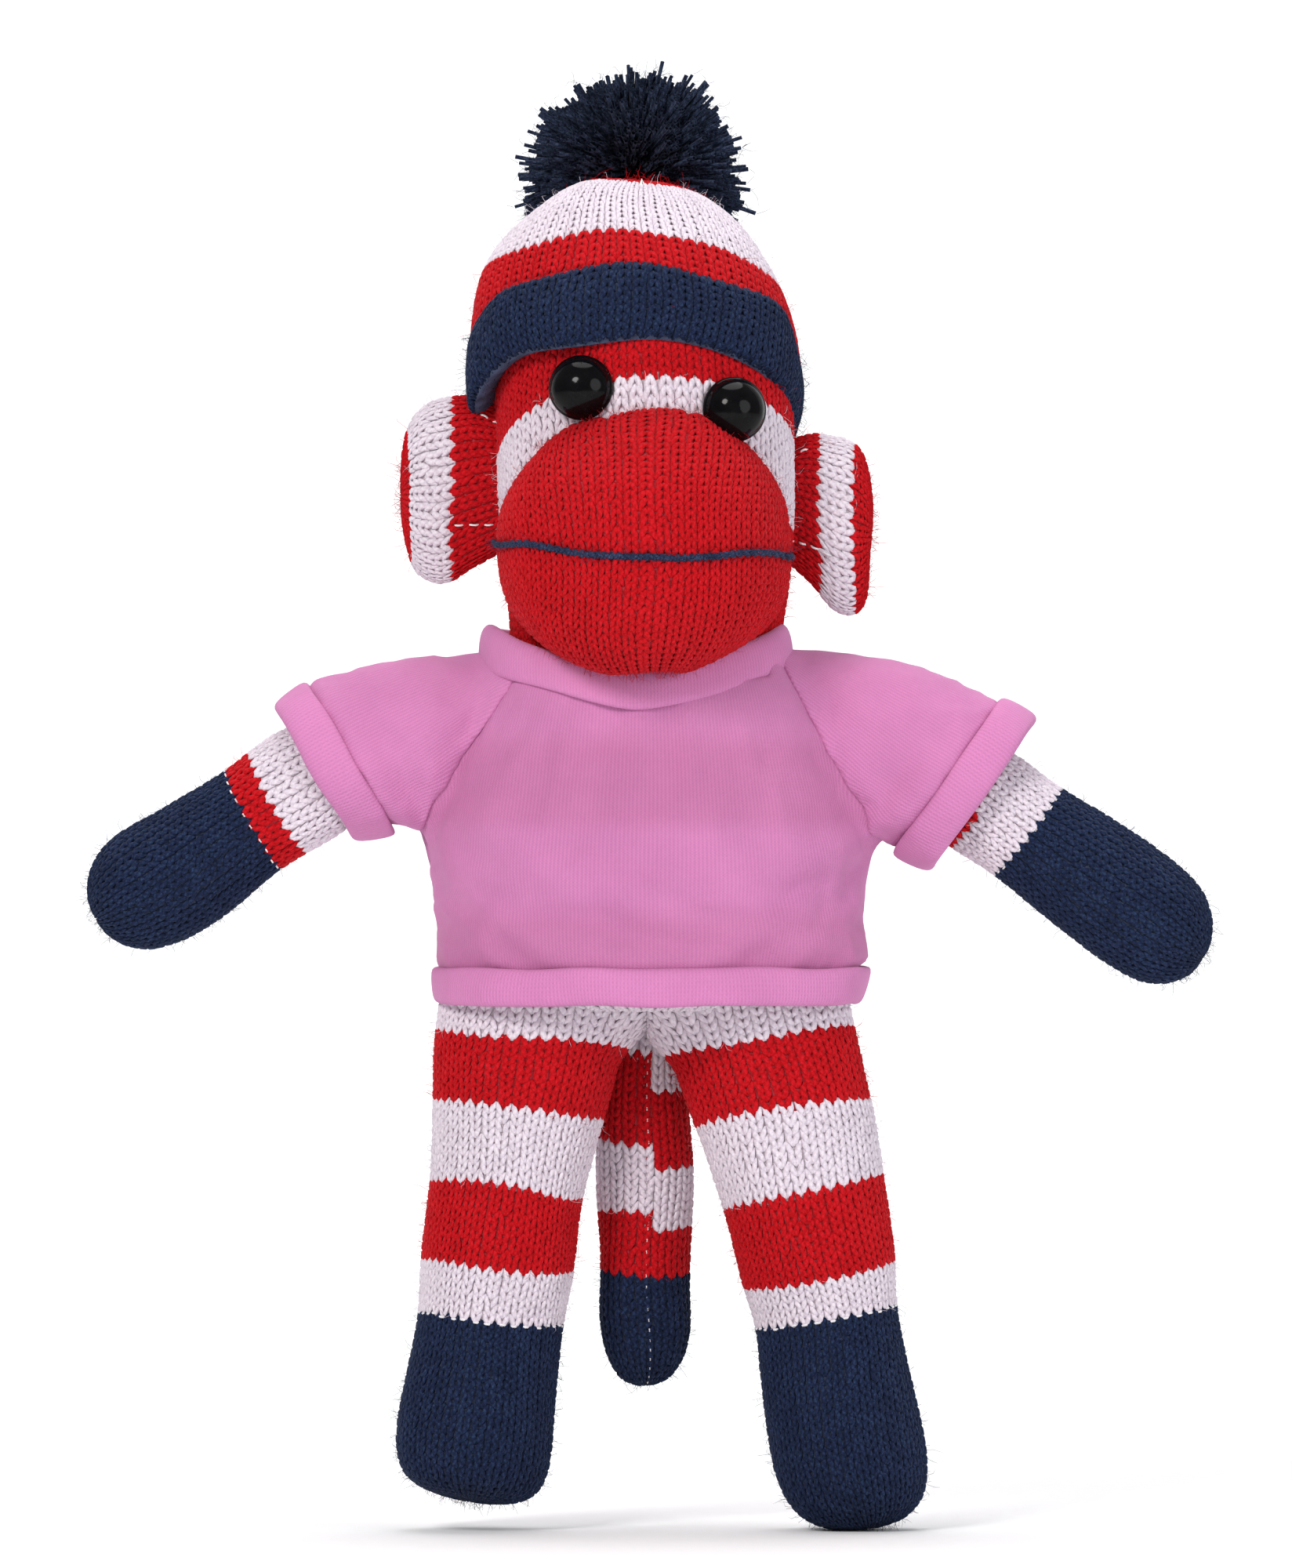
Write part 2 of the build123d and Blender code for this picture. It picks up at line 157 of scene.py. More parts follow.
def jersey_material(name, dark, light, sheer=()):
    """Fine machine jersey: tiny columns down the cloth with a soft mottle, and painted shade darkening the
    grooves between the columns.

    sheer lists (height, tint) where the stripes beneath darken the thin cloth."""
    s = Surface(name, 0.9, 0.12, sheen=0.12)
    u, v, _ = s.axes(s.coords["UV"])
    zig = s.math("SINE", s.times(v, TURN / 0.5))
    ribs = s.math("SINE", s.plus(s.times(u, TURN / 0.62), s.times(zig, 0.5)))
    height = s.plus(s.times(ribs, 0.30), s.times(s.times(ribs, zig), 0.18))
    height = s.plus(height, s.times(s.noise(1500), 0.35))
    # The tone follows the columns' height as painted shade in their grooves, with a random mottle on top.
    tone = s.plus(s.times(height, 0.35), s.times(s.noise(60), 0.6))
    cloth = s.ramp(tone, [(0.15, dark), (0.65, light)])
    if sheer:
        level = s.times(s.axes(s.coords["Object"])[2], 1 / (SHEER_TOP * MM))
        mix = s.nodes.new("ShaderNodeMix")
        mix.data_type, mix.blend_type = "RGBA", "MULTIPLY"
        mix.inputs[0].default_value = 1.0
        s.links.new(cloth, mix.inputs[6])
        s.links.new(s.ramp(level, [(z / SHEER_TOP, tint) for z, tint in sheer]), mix.inputs[7])
        cloth = mix.outputs[2]
    s.links.new(cloth, s.shader["Base Color"])
    s.bump(height, 0.55)
    return s.mat


def plain_material(name, colour, roughness, mottle=0.04, specular=0.3):
    """One colour with a faint mottle in its tone and its roughness."""
    s = Surface(name, roughness, specular)
    fac = s.noise(400, 4)
    low = tuple(c * (1 - mottle) for c in colour)
    high = tuple(min(1, c * (1 + mottle) + 0.002) for c in colour)
    s.links.new(s.ramp(fac, [(0.3, low), (0.7, high)]), s.shader["Base Color"])
    s.links.new(s.plus(s.times(fac, 0.05), roughness - 0.02), s.shader["Roughness"])
    return s.mat


yarns = [yarn_material("red_yarn", (0.36, 0.002, 0.004), (0.52, 0.003, 0.008), (0.60, 0.010, 0.018)),
         yarn_material("white_yarn", (0.62, 0.54, 0.61), (0.74, 0.655, 0.73), (0.82, 0.75, 0.80)),
         yarn_material("navy_yarn", (0.005, 0.010, 0.030), (0.009, 0.017, 0.051), (0.024, 0.045, 0.105)),
         plain_material("white_thread", (0.80, 0.78, 0.80), 0.6),
         plain_material("red_ground", (0.50, 0.035, 0.05), 0.95, 0.3),
         # The white ground is darker than the filling behind it: painted shade in the gaps between the
         # stitches.
         plain_material("white_filling_in_shade", (0.66, 0.56, 0.60), 0.95, 0.15),
         plain_material("navy_ground", (0.045, 0.06, 0.11), 0.95, 0.4)]
thread_mat = yarns[THREAD]
mouth_mat = yarn_material("mouth_wool", (0.008, 0.012, 0.032), (0.020, 0.030, 0.075), (0.06, 0.08, 0.15))
pompom_mat = yarn_material("pompom_wool", (0.006, 0.009, 0.022), (0.018, 0.027, 0.058), (0.06, 0.085, 0.15))
jersey_mat = jersey_material("pink_jersey", (0.505, 0.173, 0.37), (0.668, 0.244, 0.49))
CLEAR, OVER_RED = (1.0, 1.0, 1.0), (0.93, 0.885, 0.885)
body_jersey_mat = jersey_material("pink_jersey_sheer", (0.48, 0.163, 0.352), (0.632, 0.230, 0.463),
                                  [(112.5, OVER_RED), (117, CLEAR), (129.5, CLEAR), (132.5, OVER_RED),
                                   (145, OVER_RED), (149.5, CLEAR)])
rib_mat = jersey_material("pink_band", (0.53, 0.18, 0.385), (0.68, 0.246, 0.50))
eye_mat = plain_material("black_eye_plastic", (0.002, 0.002, 0.0025), 0.10, specular=0.11)
fill_mat = plain_material("fibre_filling", (0.85, 0.84, 0.82), 0.95, 0.12)
washer_mat = plain_material("white_washer_plastic", (0.82, 0.82, 0.80), 0.45)


# ---------------------------------------------------------------- surfaces
def unit(v):
    return v / np.maximum(np.linalg.norm(v, axis=-1, keepdims=True), 1e-9)


def facing(n, toward):
    """Unit normals, each turned to the side that toward points to."""
    n = unit(n)
    side = np.sign(np.sum(n * toward, -1, keepdims=True))
    return n * np.where(side == 0, 1, side)


def smooth_path(points, per=24):
    """Catmull-Rom through the points.  Returns the length at each row, and the rows."""
    p = np.array(points, float)
    ends = np.vstack([2 * p[0] - p[1], p, 2 * p[-1] - p[-2]])
    out = []
    for k in range(len(p) - 1):
        a, b, c, d = ends[k:k + 4]
        t = np.linspace(0, 1, per, endpoint=False)[:, None]
        out.append(0.5 * (2 * b + (c - a) * t + (2 * a - 5 * b + 4 * c - d) * t**2
                          + (3 * b - a - 3 * c + d) * t**3))
    path = np.vstack(out + [p[-1:]])
    steps = np.linalg.norm(np.diff(path[:, :2], axis=0), axis=1)
    return np.concatenate([[0], np.cumsum(steps)]), path


class Tube:
    """A stuffed tube.  profile rows are (along, radius) and spine rows (along, x, y, z); deep
    spreads the cross-section along v, and shape can push the finished points about."""

    def __init__(self, profile, spine, u, v, deep=1.0, shape=None):
        self.length, path = smooth_path(profile)
        self.along, self.radius = path[:, 0], np.maximum(path[:, 1], 0)
        self.total = self.length[-1]
        spine = np.array(spine, float)
        self.spine_t = np.linspace(spine[0, 0], spine[-1, 0], 200)
        _, rows = smooth_path(spine, 30)
        rows = rows[np.argsort(rows[:, 0])]
        self.spine = np.stack([np.interp(self.spine_t, rows[:, 0], rows[:, k]) for k in (1, 2, 3)], 1)
        self.u, self.v = np.array(u, float), np.array(v, float)
        self.deep, self.shape = deep, shape

    def at(self, s, th):
        s, th = np.asarray(s, float), np.asarray(th, float)
        sc = np.clip(s, 0, self.total)
        a = np.interp(sc, self.length, self.along)
        r = np.interp(sc, self.length, self.radius)
        c = np.stack([np.interp(a, self.spine_t, self.spine[:, k]) for k in range(3)], -1)
        p = c + (r * np.cos(th))[..., None] * self.u + (r * np.sin(th) * self.deep)[..., None] * self.v
        return self.shape(p, a, th) if self.shape else p

    def normal(self, s, th):
        e, turn = 0.25, 0.02
        s = np.clip(s, e, self.total - e)
        ds = self.at(s + e, th) - self.at(s - e, th)
        dt = self.at(s, th + turn) - self.at(s, th - turn)
        return facing(np.cross(dt, ds), self.at(s, th) - self.at(s, th + math.pi))


class Scatter:
    """Stands in for a surface: points and normals picked by number."""

    def __init__(self, points, normals):
        self.points, self.normals = points, normals

    def at(self, s, th):
        return self.points[s.astype(int)]

    def normal(self, s, th):
        return self.normals[s.astype(int)]


def new_object(name, data):
    obj = bpy.data.objects.new(name, data)
    bpy.context.scene.collection.objects.link(obj)
    return obj


def attach(obj, rider, node):
    """Puts a piece on the body named rider, or hands it to rider when that is a function, in place of a CAD
    node.
    """
    if callable(rider):
        rider(obj)
    else:
        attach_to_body(obj, rider)
    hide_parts(node)


class MeshParts:
    """Collects vertices, faces, uv and material numbers, then makes one object."""

    def __init__(self):
        self.verts, self.faces, self.uv, self.mat, self.count = [], [], [], [], 0

    def add(self, verts, faces, uv, mat):
        self.verts.append(verts)
        self.faces.append(faces + self.count)
        self.uv.append(uv)
        self.mat.append(np.broadcast_to(np.asarray(mat, np.int32), (len(faces),)))
        self.count += len(verts)

    def build(self, name, materials):
        verts, faces = np.vstack(self.verts), np.vstack(self.faces)
        uv, mat = np.vstack(self.uv), np.concatenate(self.mat)
        mesh = bpy.data.meshes.new(name)
        mesh.vertices.add(len(verts))
        mesh.vertices.foreach_set("co", (verts * MM).astype(np.float32).ravel())
        mesh.loops.add(faces.size)
        mesh.loops.foreach_set("vertex_index", faces.astype(np.int32).ravel())
        mesh.polygons.add(len(faces))
        mesh.polygons.foreach_set("loop_start", np.arange(0, faces.size, 4, dtype=np.int32))
        mesh.polygons.foreach_set("loop_total", np.full(len(faces), 4, np.int32))
        mesh.polygons.foreach_set("material_index", mat.astype(np.int32))
        mesh.polygons.foreach_set("use_smooth", np.ones(len(faces), bool))
        layer = mesh.uv_layers.new(name="UVMap")
        layer.data.foreach_set("uv", uv[faces.ravel()].astype(np.float32).ravel())
        for m in materials:
            mesh.materials.append(m)
        mesh.update(calc_edges=True)
        mesh.validate()
        return new_object(name, mesh)


def ring_faces(rings, sides):
    """Quads between closed rings of vertices."""
    idx = np.arange(rings * sides).reshape(rings, sides)
    nxt = np.roll(idx, -1, axis=1)
    return np.stack([idx[:-1], nxt[:-1], nxt[1:], idx[1:]], -1).reshape(-1, 4)


def sheet_faces(rows, cols):
    """Quads between open rows of vertices."""
    idx = np.arange(rows * cols).reshape(rows, cols)
    return np.stack([idx[:-1, :-1], idx[:-1, 1:], idx[1:, 1:], idx[1:, :-1]], -1).reshape(-1, 4)


def many(faces, count, size):
    """The same faces again for each of count copies of size vertices."""
    return (faces[None] + (np.arange(count) * size)[:, None, None]).reshape(-1, 4)


# Half of a knitted V: rings along the strand in (columns, rows, height) and their thickness
HALF_PATH = np.array([(0.06, -0.70, -0.24), (0.14, -0.26, 0.16), (0.31, 0.36, 0.18), (0.43, 0.96, -0.22)])
HALF_SIZE = np.array([0.55, 1.0, 1.0, 0.5])
HALF_SIDES = 5
YARN_WIDE, YARN_TALL = 0.60, 0.33    # half width and half height of the yarn


def half_stitch(side):
    t = np.linspace(0, 1, len(HALF_PATH))
    mid = HALF_PATH * np.array([side, 1, 1])
    tangent = unit(np.gradient(mid * np.array([WALE, COURSE, 0]), axis=0))
    across = np.stack([-tangent[:, 1] / WALE, tangent[:, 0] / COURSE], 1)
    ang = np.arange(HALF_SIDES) * TURN / HALF_SIDES
    off = (YARN_WIDE * HALF_SIZE[:, None] * np.cos(ang))[..., None] * across[:, None]
    up = YARN_TALL * HALF_SIZE[:, None] * np.sin(ang)
    rows = mid[:, None] + np.concatenate([off, up[..., None]], -1)
    uv = np.stack(np.broadcast_arrays((t * side)[:, None], ang / TURN), -1)
    return rows.reshape(-1, 3), uv.reshape(-1, 2), ring_faces(len(mid), HALF_SIDES)


HALVES = (half_stitch(-1), half_stitch(1))


def add_stitches(parts, surf, s, th, step, spread, mats, flip=True):
    """Lays one knitted V at each (s, th); spread is the column's angle, step the row's length."""
    for rows, uv, faces in HALVES:
        n, k = len(s), len(rows)
        jig = rng.normal(0, 0.028, (n, 3))
        size = rng.normal(1, 0.05, n)
        a = rows[None, :, 0] + jig[:, None, 0]
        b = (-rows[None, :, 1] if flip else rows[None, :, 1]) + jig[:, None, 1]
        h = rows[None, :, 2] * size[:, None] + jig[:, None, 2]
        ss, tt = s[:, None] + b * step, th[:, None] + a * spread
        p = surf.at(ss, tt) + surf.normal(ss, tt) * h[..., None]
        f = many(faces, n, k)
        u = np.broadcast_to(uv[None], (n, k, 2)) + rng.random((n, 1, 1))
        parts.add(p.reshape(-1, 3), f[:, ::-1] if flip else f, u.reshape(-1, 2), np.repeat(mats, len(faces)))


def add_grid(parts, p, uv, mat):
    parts.add(p.reshape(-1, 3), sheet_faces(*p.shape[:2]), uv.reshape(-1, 2), mat)


def add_sheet(parts, surf, s0, s1, paint, drop, columns, ds=1.6):
    """The cloth behind the stitches, so no gap shows through; under white yarn its colour is darkened as
    painted shade of the gaps.
    """
    rows = max(2, int((s1 - s0) / ds))
    gs, gt = np.meshgrid(np.linspace(s0, s1, rows + 1), np.linspace(0, TURN, columns + 1), indexing="ij")
    mid_s, mid_t = ((g[:-1, :-1] + g[1:, 1:]).ravel() / 2 for g in (gs, gt))
    add_grid(parts, surf.at(gs, gt) - surf.normal(gs, gt) * drop, np.stack([gs / 3, gt], -1),
             paint(mid_s, mid_t) + GROUND)


def add_strands(parts, pts, radius, sides, mats, taper=True):
    """Round strands through rows of points, shape (count, points, 3)."""
    n, k, _ = pts.shape
    tan = unit(np.gradient(pts, axis=1))
    e1 = unit(np.cross(tan, np.where(np.abs(tan[..., 2:3]) < 0.8, Z, X)))
    e2 = np.cross(tan, e1)
    ang = np.arange(sides) * TURN / sides
    size = np.full(k, 1.0)
    if taper:
        size[-1] = 0.35
    r = np.asarray(radius, float).reshape(-1, 1, 1, 1) * size[None, :, None, None]
    spoke = np.cos(ang)[:, None] * e1[:, :, None] + np.sin(ang)[:, None] * e2[:, :, None]
    ring = pts[:, :, None] + r * spoke
    faces = ring_faces(k, sides)
    uv = np.stack(np.meshgrid(np.linspace(0, k / 2, k), np.arange(sides) / sides, indexing="ij"), -1)
    uv = np.broadcast_to(uv.reshape(1, -1, 2), (n, k * sides, 2)).reshape(-1, 2)
    mats = np.broadcast_to(np.asarray(mats), (n,))
    parts.add(ring.reshape(-1, 3), many(faces, n, k * sides), uv, np.repeat(mats, len(faces)))


def add_fuzz(parts, surf, s_range, th_range, count, paint, length=(0.7, 1.9)):
    """Loose fibres lying just off the knit."""
    s, th = rng.uniform(*s_range, count), rng.uniform(*th_range, count)
    base, nor = surf.at(s, th), surf.normal(s, th)
    d = rng.normal(0, 1, (count, 3))
    d = unit(d - nor * np.sum(d * nor, 1, keepdims=True) * 0.75)
    bend = rng.normal(0, 0.5, (count, 3))
    ln = rng.uniform(*length, count)[:, None]
    pts = [base + nor * 0.25, base + nor * 0.75 + d * ln * 0.35,
           base + nor * rng.uniform(0.9, 1.7, (count, 1)) + (d + bend * 0.4) * ln * 0.7,
           base + nor * rng.uniform(0.5, 1.9, (count, 1)) + (d + bend) * ln]
    add_strands(parts, np.stack(pts, 1), 0.035, 3, paint(s, th))


def knit_piece(name, node, rider, tube, s0, s1, wales, paint, fuzz=0, drop=BACKING, trim=None):
    """One piece: a knitted tube with a fixed number of columns; trim adds what is sewn to it."""
    parts = MeshParts()
    rows = max(1, int(round((s1 - s0) / COURSE)))
    step = (s1 - s0) / rows
    j, i = np.meshgrid(np.arange(rows), np.arange(wales), indexing="ij")
    s, th = (s0 + (j + 0.5) * step).ravel(), ((i + 0.5) * TURN / wales).ravel()
    add_stitches(parts, tube, s, th, step, TURN / wales, paint(s, th))
    add_sheet(parts, tube, s0, s1, paint, drop, max(24, wales))
    if fuzz:
        add_fuzz(parts, tube, (s0, s1), (0, TURN), fuzz, paint)
    if trim:
        trim(parts)
    attach(parts.build(name, yarns), rider, node)


def plain(colour):
    return lambda s, th: np.full(np.shape(s), colour)


def stripes(tube, first, edges, lean=0.0):
    """Red and white by turns along a tube; lean shifts the edges from one side to the other."""
    def paint(s, th):
        a = np.interp(s, tube.length, tube.along) + lean * np.cos(th)
        return (first + np.searchsorted(edges, a, side="right")) % 2
    return paint


def lumps(amount, seed, pitch=14.0):
    """A few slow waves that keep a stuffed surface from being a perfect turning."""
    waves = np.random.default_rng(seed)
    k = waves.normal(0, 1, (6, 3))
    k *= (TURN / pitch / waves.uniform(0.9, 2.0, (6, 1))) / np.linalg.norm(k, axis=1, keepdims=True)
    phase = waves.uniform(0, 6.28, (6, 3))

    def push(p):
        out = p.copy()
        for axis in range(3):
            sway = [np.sin(p @ k[n] + phase[n, axis]) for n in range(6)]
            out[..., axis] += amount * np.mean(sway, axis=0) * 1.7
        return out
    return push


def lumpy(*args):
    """The same waves as a tube's shape."""
    push = lumps(*args)
    return lambda p, a, th: push(p)


def at_along(tube, along):
    """The length down the outline where the tube reaches this distance along its axis."""
    turn = int(np.argmax(tube.along))
    return float(np.interp(along, tube.along[:turn + 1], tube.length[:turn + 1]))


def add_seam_row(parts, tube, s, count, radius, long, lift=0.55):
    """A row of little linking stitches round a tube; long is a stitch's share of its pitch."""
    th = (np.arange(count) + 0.5) * TURN / count + rng.normal(0, 0.02, count)
    half = TURN / count * long / 2
    ts = np.stack([th - half, th - half * 0.4, th + half * 0.4, th + half], 1)
    ss = s + rng.normal(0, 0.12, (count, 1)) + np.zeros_like(ts)
    lifts = np.array([-0.15, 1.0, 1.0, -0.15]) * lift
    pts = tube.at(ss, ts) + tube.normal(ss, ts) * lifts[None, :, None]
    add_strands(parts, pts, radius, 5, THREAD, taper=False)


def add_filling(name, node, rider, tube, s0, s1, depth=2.0):
    """Lumpy filling inside a skin, standing for the plain CAD stuffing."""
    parts = MeshParts()
    gs, gt = np.meshgrid(np.linspace(s0, s1, 26), np.linspace(0, TURN, 28), indexing="ij")
    p = lumps(0.8, len(name) + 3, 5.0)(tube.at(gs, gt) - tube.normal(gs, gt) * depth)
    add_grid(parts, p, np.stack([gs, gt], -1), 0)
    attach(parts.build(name, [fill_mat]), rider, node)


def line_spine(start, direction, low, high):
    return [(low, *(start + direction * low)), (high, *(start + direction * high))]


# ---------------------------------------------------------------- joints and axes, as in the part
WAY = {"left": -1, "right": 1}
HIP = {"left": np.array([-23.5, 0, 79.0]), "right": np.array([24.0, 0, 79])}
LEG_TILT = {"left": -7.3, "right": 10.6}
SHOULDER = {"left": np.array([-39.0, 0, 151]), "right": np.array([40.0, 0, 151])}
ARM_SLOPE = {"left": 30.5, "right": 35.0}
TAIL = np.array([-0.6, 14.0, 87.8])
TAIL_SWING = math.radians(4)
MUZZLE_X = -0.5


def arm_frame(side):
    """The directions out along the arm and up across it."""
    slope = math.radians(ARM_SLOPE[side])
    way = WAY[side]
    return (np.array([way * math.cos(slope), 0, -math.sin(slope)]),
            np.array([way * math.sin(slope), 0, math.cos(slope)]))


# ---------------------------------------------------------------- legs and feet
LEG = {
    "left": dict(outline=[(-24, 16.2), (-10, 16.4), (3, 15.4), (16, 14.4), (30, 14.0), (40.7, 13.3),
                          (52, 14.0), (61, 14.6), (67, 14.3), (71, 12.7), (73, 9.4), (73.8, 5), (74, 0)],
                 stripes=(-12.2, 1.8, 16.3, 31.3), seam=40.6, seed=5, lean=-0.8),
    "right": dict(outline=[(-24, 16.4), (-10, 16.7), (3, 16.0), (16, 15.1), (30, 14.3), (41, 13.0),
                           (50, 13.4), (60, 14.0), (69, 13.7), (75.5, 11.4), (79, 7.4), (80.2, 3.2),
                           (80.4, 0)],
                  stripes=(-12.2, 2.0, 17.0, 32.4), seam=41.1, seed=9, lean=1.5),
}
LEG_WALES = 34


def leg_shape(side):
    """The inner side spreads to meet the other leg at the crotch; the middle of the leg leans outward."""
    push = lumps(0.9, LEG[side]["seed"], 26.0)
    inward, lean = -WAY[side], LEG[side]["lean"]

    def shape(p, a, th):
        p = push(p)
        rise = np.clip((-8.5 - a) / 9.0, 0, 1.4)
        p[..., 0] += inward * 6.2 * rise**1.6 * np.clip(inward * np.cos(th), 0, 1) ** 3
        p[..., 0] += lean * np.clip((a + 14) / 18, 0, 1)
        p[..., 0] = -inward * np.maximum(-inward * p[..., 0], 0.2)
        return p
    return shape


for side, data in LEG.items():
    tilt = math.radians(LEG_TILT[side])
    down = np.array([math.sin(tilt), 0, -math.cos(tilt)])
    out = np.array([math.cos(tilt), 0, math.sin(tilt)])
    leg = Tube(data["outline"], line_spine(HIP[side], down, -30, 90), out, Y, 0.97, leg_shape(side))
    seam = at_along(leg, data["seam"])

    def ride_leg(obj, side=side):
        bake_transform(obj)

    knit_piece("leg_knit_" + side, "leg_skin_" + side, ride_leg, leg, at_along(leg, -22),
               seam, LEG_WALES, stripes(leg, WHITE, data["stripes"]), fuzz=900)
    knit_piece("foot_knit_" + side, "foot_skin_" + side, "leg_" + side, leg, seam,
               leg.total - 1.2, LEG_WALES, plain(NAVY), fuzz=500,
               trim=lambda parts: add_seam_row(parts, leg, seam, LEG_WALES, 0.24, 0.5, lift=0.4))
    add_filling("leg_filling_" + side, "leg_stuffing_" + side, ride_leg, leg, at_along(leg, -18),
                leg.total - 3)

# ---------------------------------------------------------------- arms and hands
ARM = {
    "left": dict(outline=[(-5, 3.5), (1, 4.6), (8, 6.0), (15, 7.6), (21, 9.4), (28, 10.5), (39.6, 10.0),
                          (50, 11.3), (60, 11.6), (67, 10.3), (71.4, 7.4), (73.6, 3.6), (74, 0)],
                 first=WHITE, edge=34.4, lean=0.0, seam=39.6, seed=21, lift=1.6),
    "right": dict(outline=[(-5, 3.5), (1, 4.6), (8, 6.0), (15, 7.4), (22, 9.2), (28, 9.8), (37.7, 9.9),
                           (48, 10.8), (60, 11.1), (69, 10.2), (74, 7.4), (76.6, 3.6), (77, 0)],
                  first=RED, edge=26.4, lean=2.2, seam=37.7, seed=33, lift=0.0),
}
# How far up the arm's middle bows, as a share of lift, against the distance from the shoulder
ARM_BOW = ((-10, 0.0), (0, 0.4), (12, 0.9), (26, 1.0), (38, 1.0), (48, 0.5), (58, 0.0), (80, 0.0))
ARM_WALES = 24

for side, data in ARM.items():
    outward, upward = arm_frame(side)
    spine = [(t, *(SHOULDER[side] + outward * t + upward * data["lift"] * k)) for t, k in ARM_BOW]
    arm = Tube(data["outline"], spine, upward, Y, 0.95, lumpy(0.7, data["seed"], 20.0))
    seam, body = at_along(arm, data["seam"]), "arm_" + side
    knit_piece("arm_knit_" + side, "arm_skin_" + side, body, arm, 1.0, seam, ARM_WALES,
               stripes(arm, data["first"], [data["edge"]], data["lean"]), fuzz=350)
    knit_piece("hand_knit_" + side, "hand_skin_" + side, body, arm, seam, arm.total - 1.0,
               ARM_WALES, plain(NAVY), fuzz=380,
               trim=lambda parts: add_seam_row(parts, arm, seam, ARM_WALES, 0.16, 0.28))
    add_filling("arm_filling_" + side, "arm_stuffing_" + side, body, arm, 2, arm.total - 3)

# ---------------------------------------------------------------- tail
tail_down = np.array([0, math.sin(TAIL_SWING), -math.cos(TAIL_SWING)])
tail_back = np.array([0, math.cos(TAIL_SWING), math.sin(TAIL_SWING)])
tail = Tube([(-9, 6.0), (-6, 7.6), (0, 8.2), (20, 8.3), (42, 8.3), (50, 8.0), (56, 6.6), (60.4, 4.2),
             (62, 1.6), (62.2, 0)], line_spine(TAIL, tail_down, -20, 70), X, tail_back, 0.95,
             lumpy(0.6, 40, 18.0))
TAIL_WALES = 18
TAIL_EDGES = (0, 15.3, 29.5)    # where white and red change on the left half


def tail_paint(s, th):
    """The two halves were sewn up the front with their stripes out of step."""
    a = np.interp(s, tail.length, tail.along)
    level = np.where(np.cos(th) < 0.08, a, a - 5.2 * (1 - np.clip((a - 18) / 30, 0, 1)))
    return (WHITE + np.searchsorted(TAIL_EDGES, level)) % 2


def tail_stitches(parts):
    """Hand stitches down the front seam."""
    along = np.arange(1.0, tail.total - 2, 2.1)[:, None] + np.array([0, 0.25, 0.6, 0.85])
    front = np.full(along.shape, -math.pi / 2 + 0.08)
    lifts = np.array([-0.1, 0.42, 0.42, -0.1])
    pts = tail.at(along, front) + tail.normal(along, front) * lifts[None, :, None]
    add_strands(parts, pts, 0.13, 5, THREAD, taper=False)


seam = at_along(tail, 40.8)
knit_piece("tail_knit", "tail_skin", "tail", tail, 0.5, seam, TAIL_WALES, tail_paint,
           fuzz=200)
knit_piece("tail_tip_knit", "tail_tip", "tail", tail, seam, tail.total - 0.8, TAIL_WALES,
           plain(NAVY), fuzz=150, trim=tail_stitches)
add_filling("tail_filling", "tail_stuffing", "tail", tail, 2, tail.total - 2, 1.6)

# ---------------------------------------------------------------- head and neck
HEAD_OUTLINE = [(-15, 23.5), (-8, 24.6), (0, 25.6), (10, 26.9), (20, 27.7), (32, 28.0), (44, 27.6),
                (56, 25.8), (68, 20.5), (77, 12.5), (81, 5), (81.6, 0)]
HEAD_SPINE = [(-20, -0.6, 0, 150), (30, -0.4, 0, 200), (90, -1.5, 0, 260)]
HEAD_WALES = 60
head_push = lumps(0.7, 71, 26.0)


def head_shape(p, a, th):
    """Flatter from front to back where the neck goes into the collar."""
    p = p.copy()
    p[..., 1] *= np.interp(a, [-15, 0, 12, 26, 82], [0.66, 0.70, 0.86, 0.95, 0.97])
    return head_push(p)


class Arched(Tube):
    """A tube whose rows ride up at the front, as sock rows do above the heel."""

    RISE, ASIDE, LOW, HIGH = 13.5, 1.6, 17.0, 46.0

    def at(self, s, th):
        s = np.asarray(s, float)
        w = np.clip((s - self.LOW) / (self.HIGH - self.LOW), 0, 1)
        w = w * w * (3 - 2 * w)
        return super().at(s + w * (self.RISE * -np.sin(th) + self.ASIDE * np.cos(th)), th)


face = Arched(HEAD_OUTLINE, HEAD_SPINE, X, Y, shape=head_shape)
neck_seam = at_along(face, 2)


def ride_head(obj):
    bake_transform(obj)


def ride_neck(obj):
    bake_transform(obj)


knit_piece("head_knit", "head_skin", ride_head, face, neck_seam, at_along(face, 47),
           HEAD_WALES, stripes(face, RED, (15.5, 30.8)), fuzz=900)
knit_piece("neck_knit", "neck_skin", ride_neck, face, at_along(face, -14), neck_seam,
           HEAD_WALES, plain(RED), fuzz=150)
add_filling("neck_filling", "neck_stuffing", "neck", face, at_along(face, -12), at_along(face, 4), 3.2)
parts = MeshParts()
turn = np.linspace(0, 3 * TURN, 181)
winding = np.stack([-1 + 15.5 * np.cos(turn), 15.5 * np.sin(turn),
                    169.2 + 0.09 * turn + 0.15 * np.sin(turn * 0.7)], -1)
add_strands(parts, winding[None], 0.42, 8, 0)
attach(parts.build("neck_wrap", [thread_mat]), "neck", "neck_thread")
add_filling("head_filling", "head_stuffing", "head", face, at_along(face, 6), face.total - 3, 3.6)

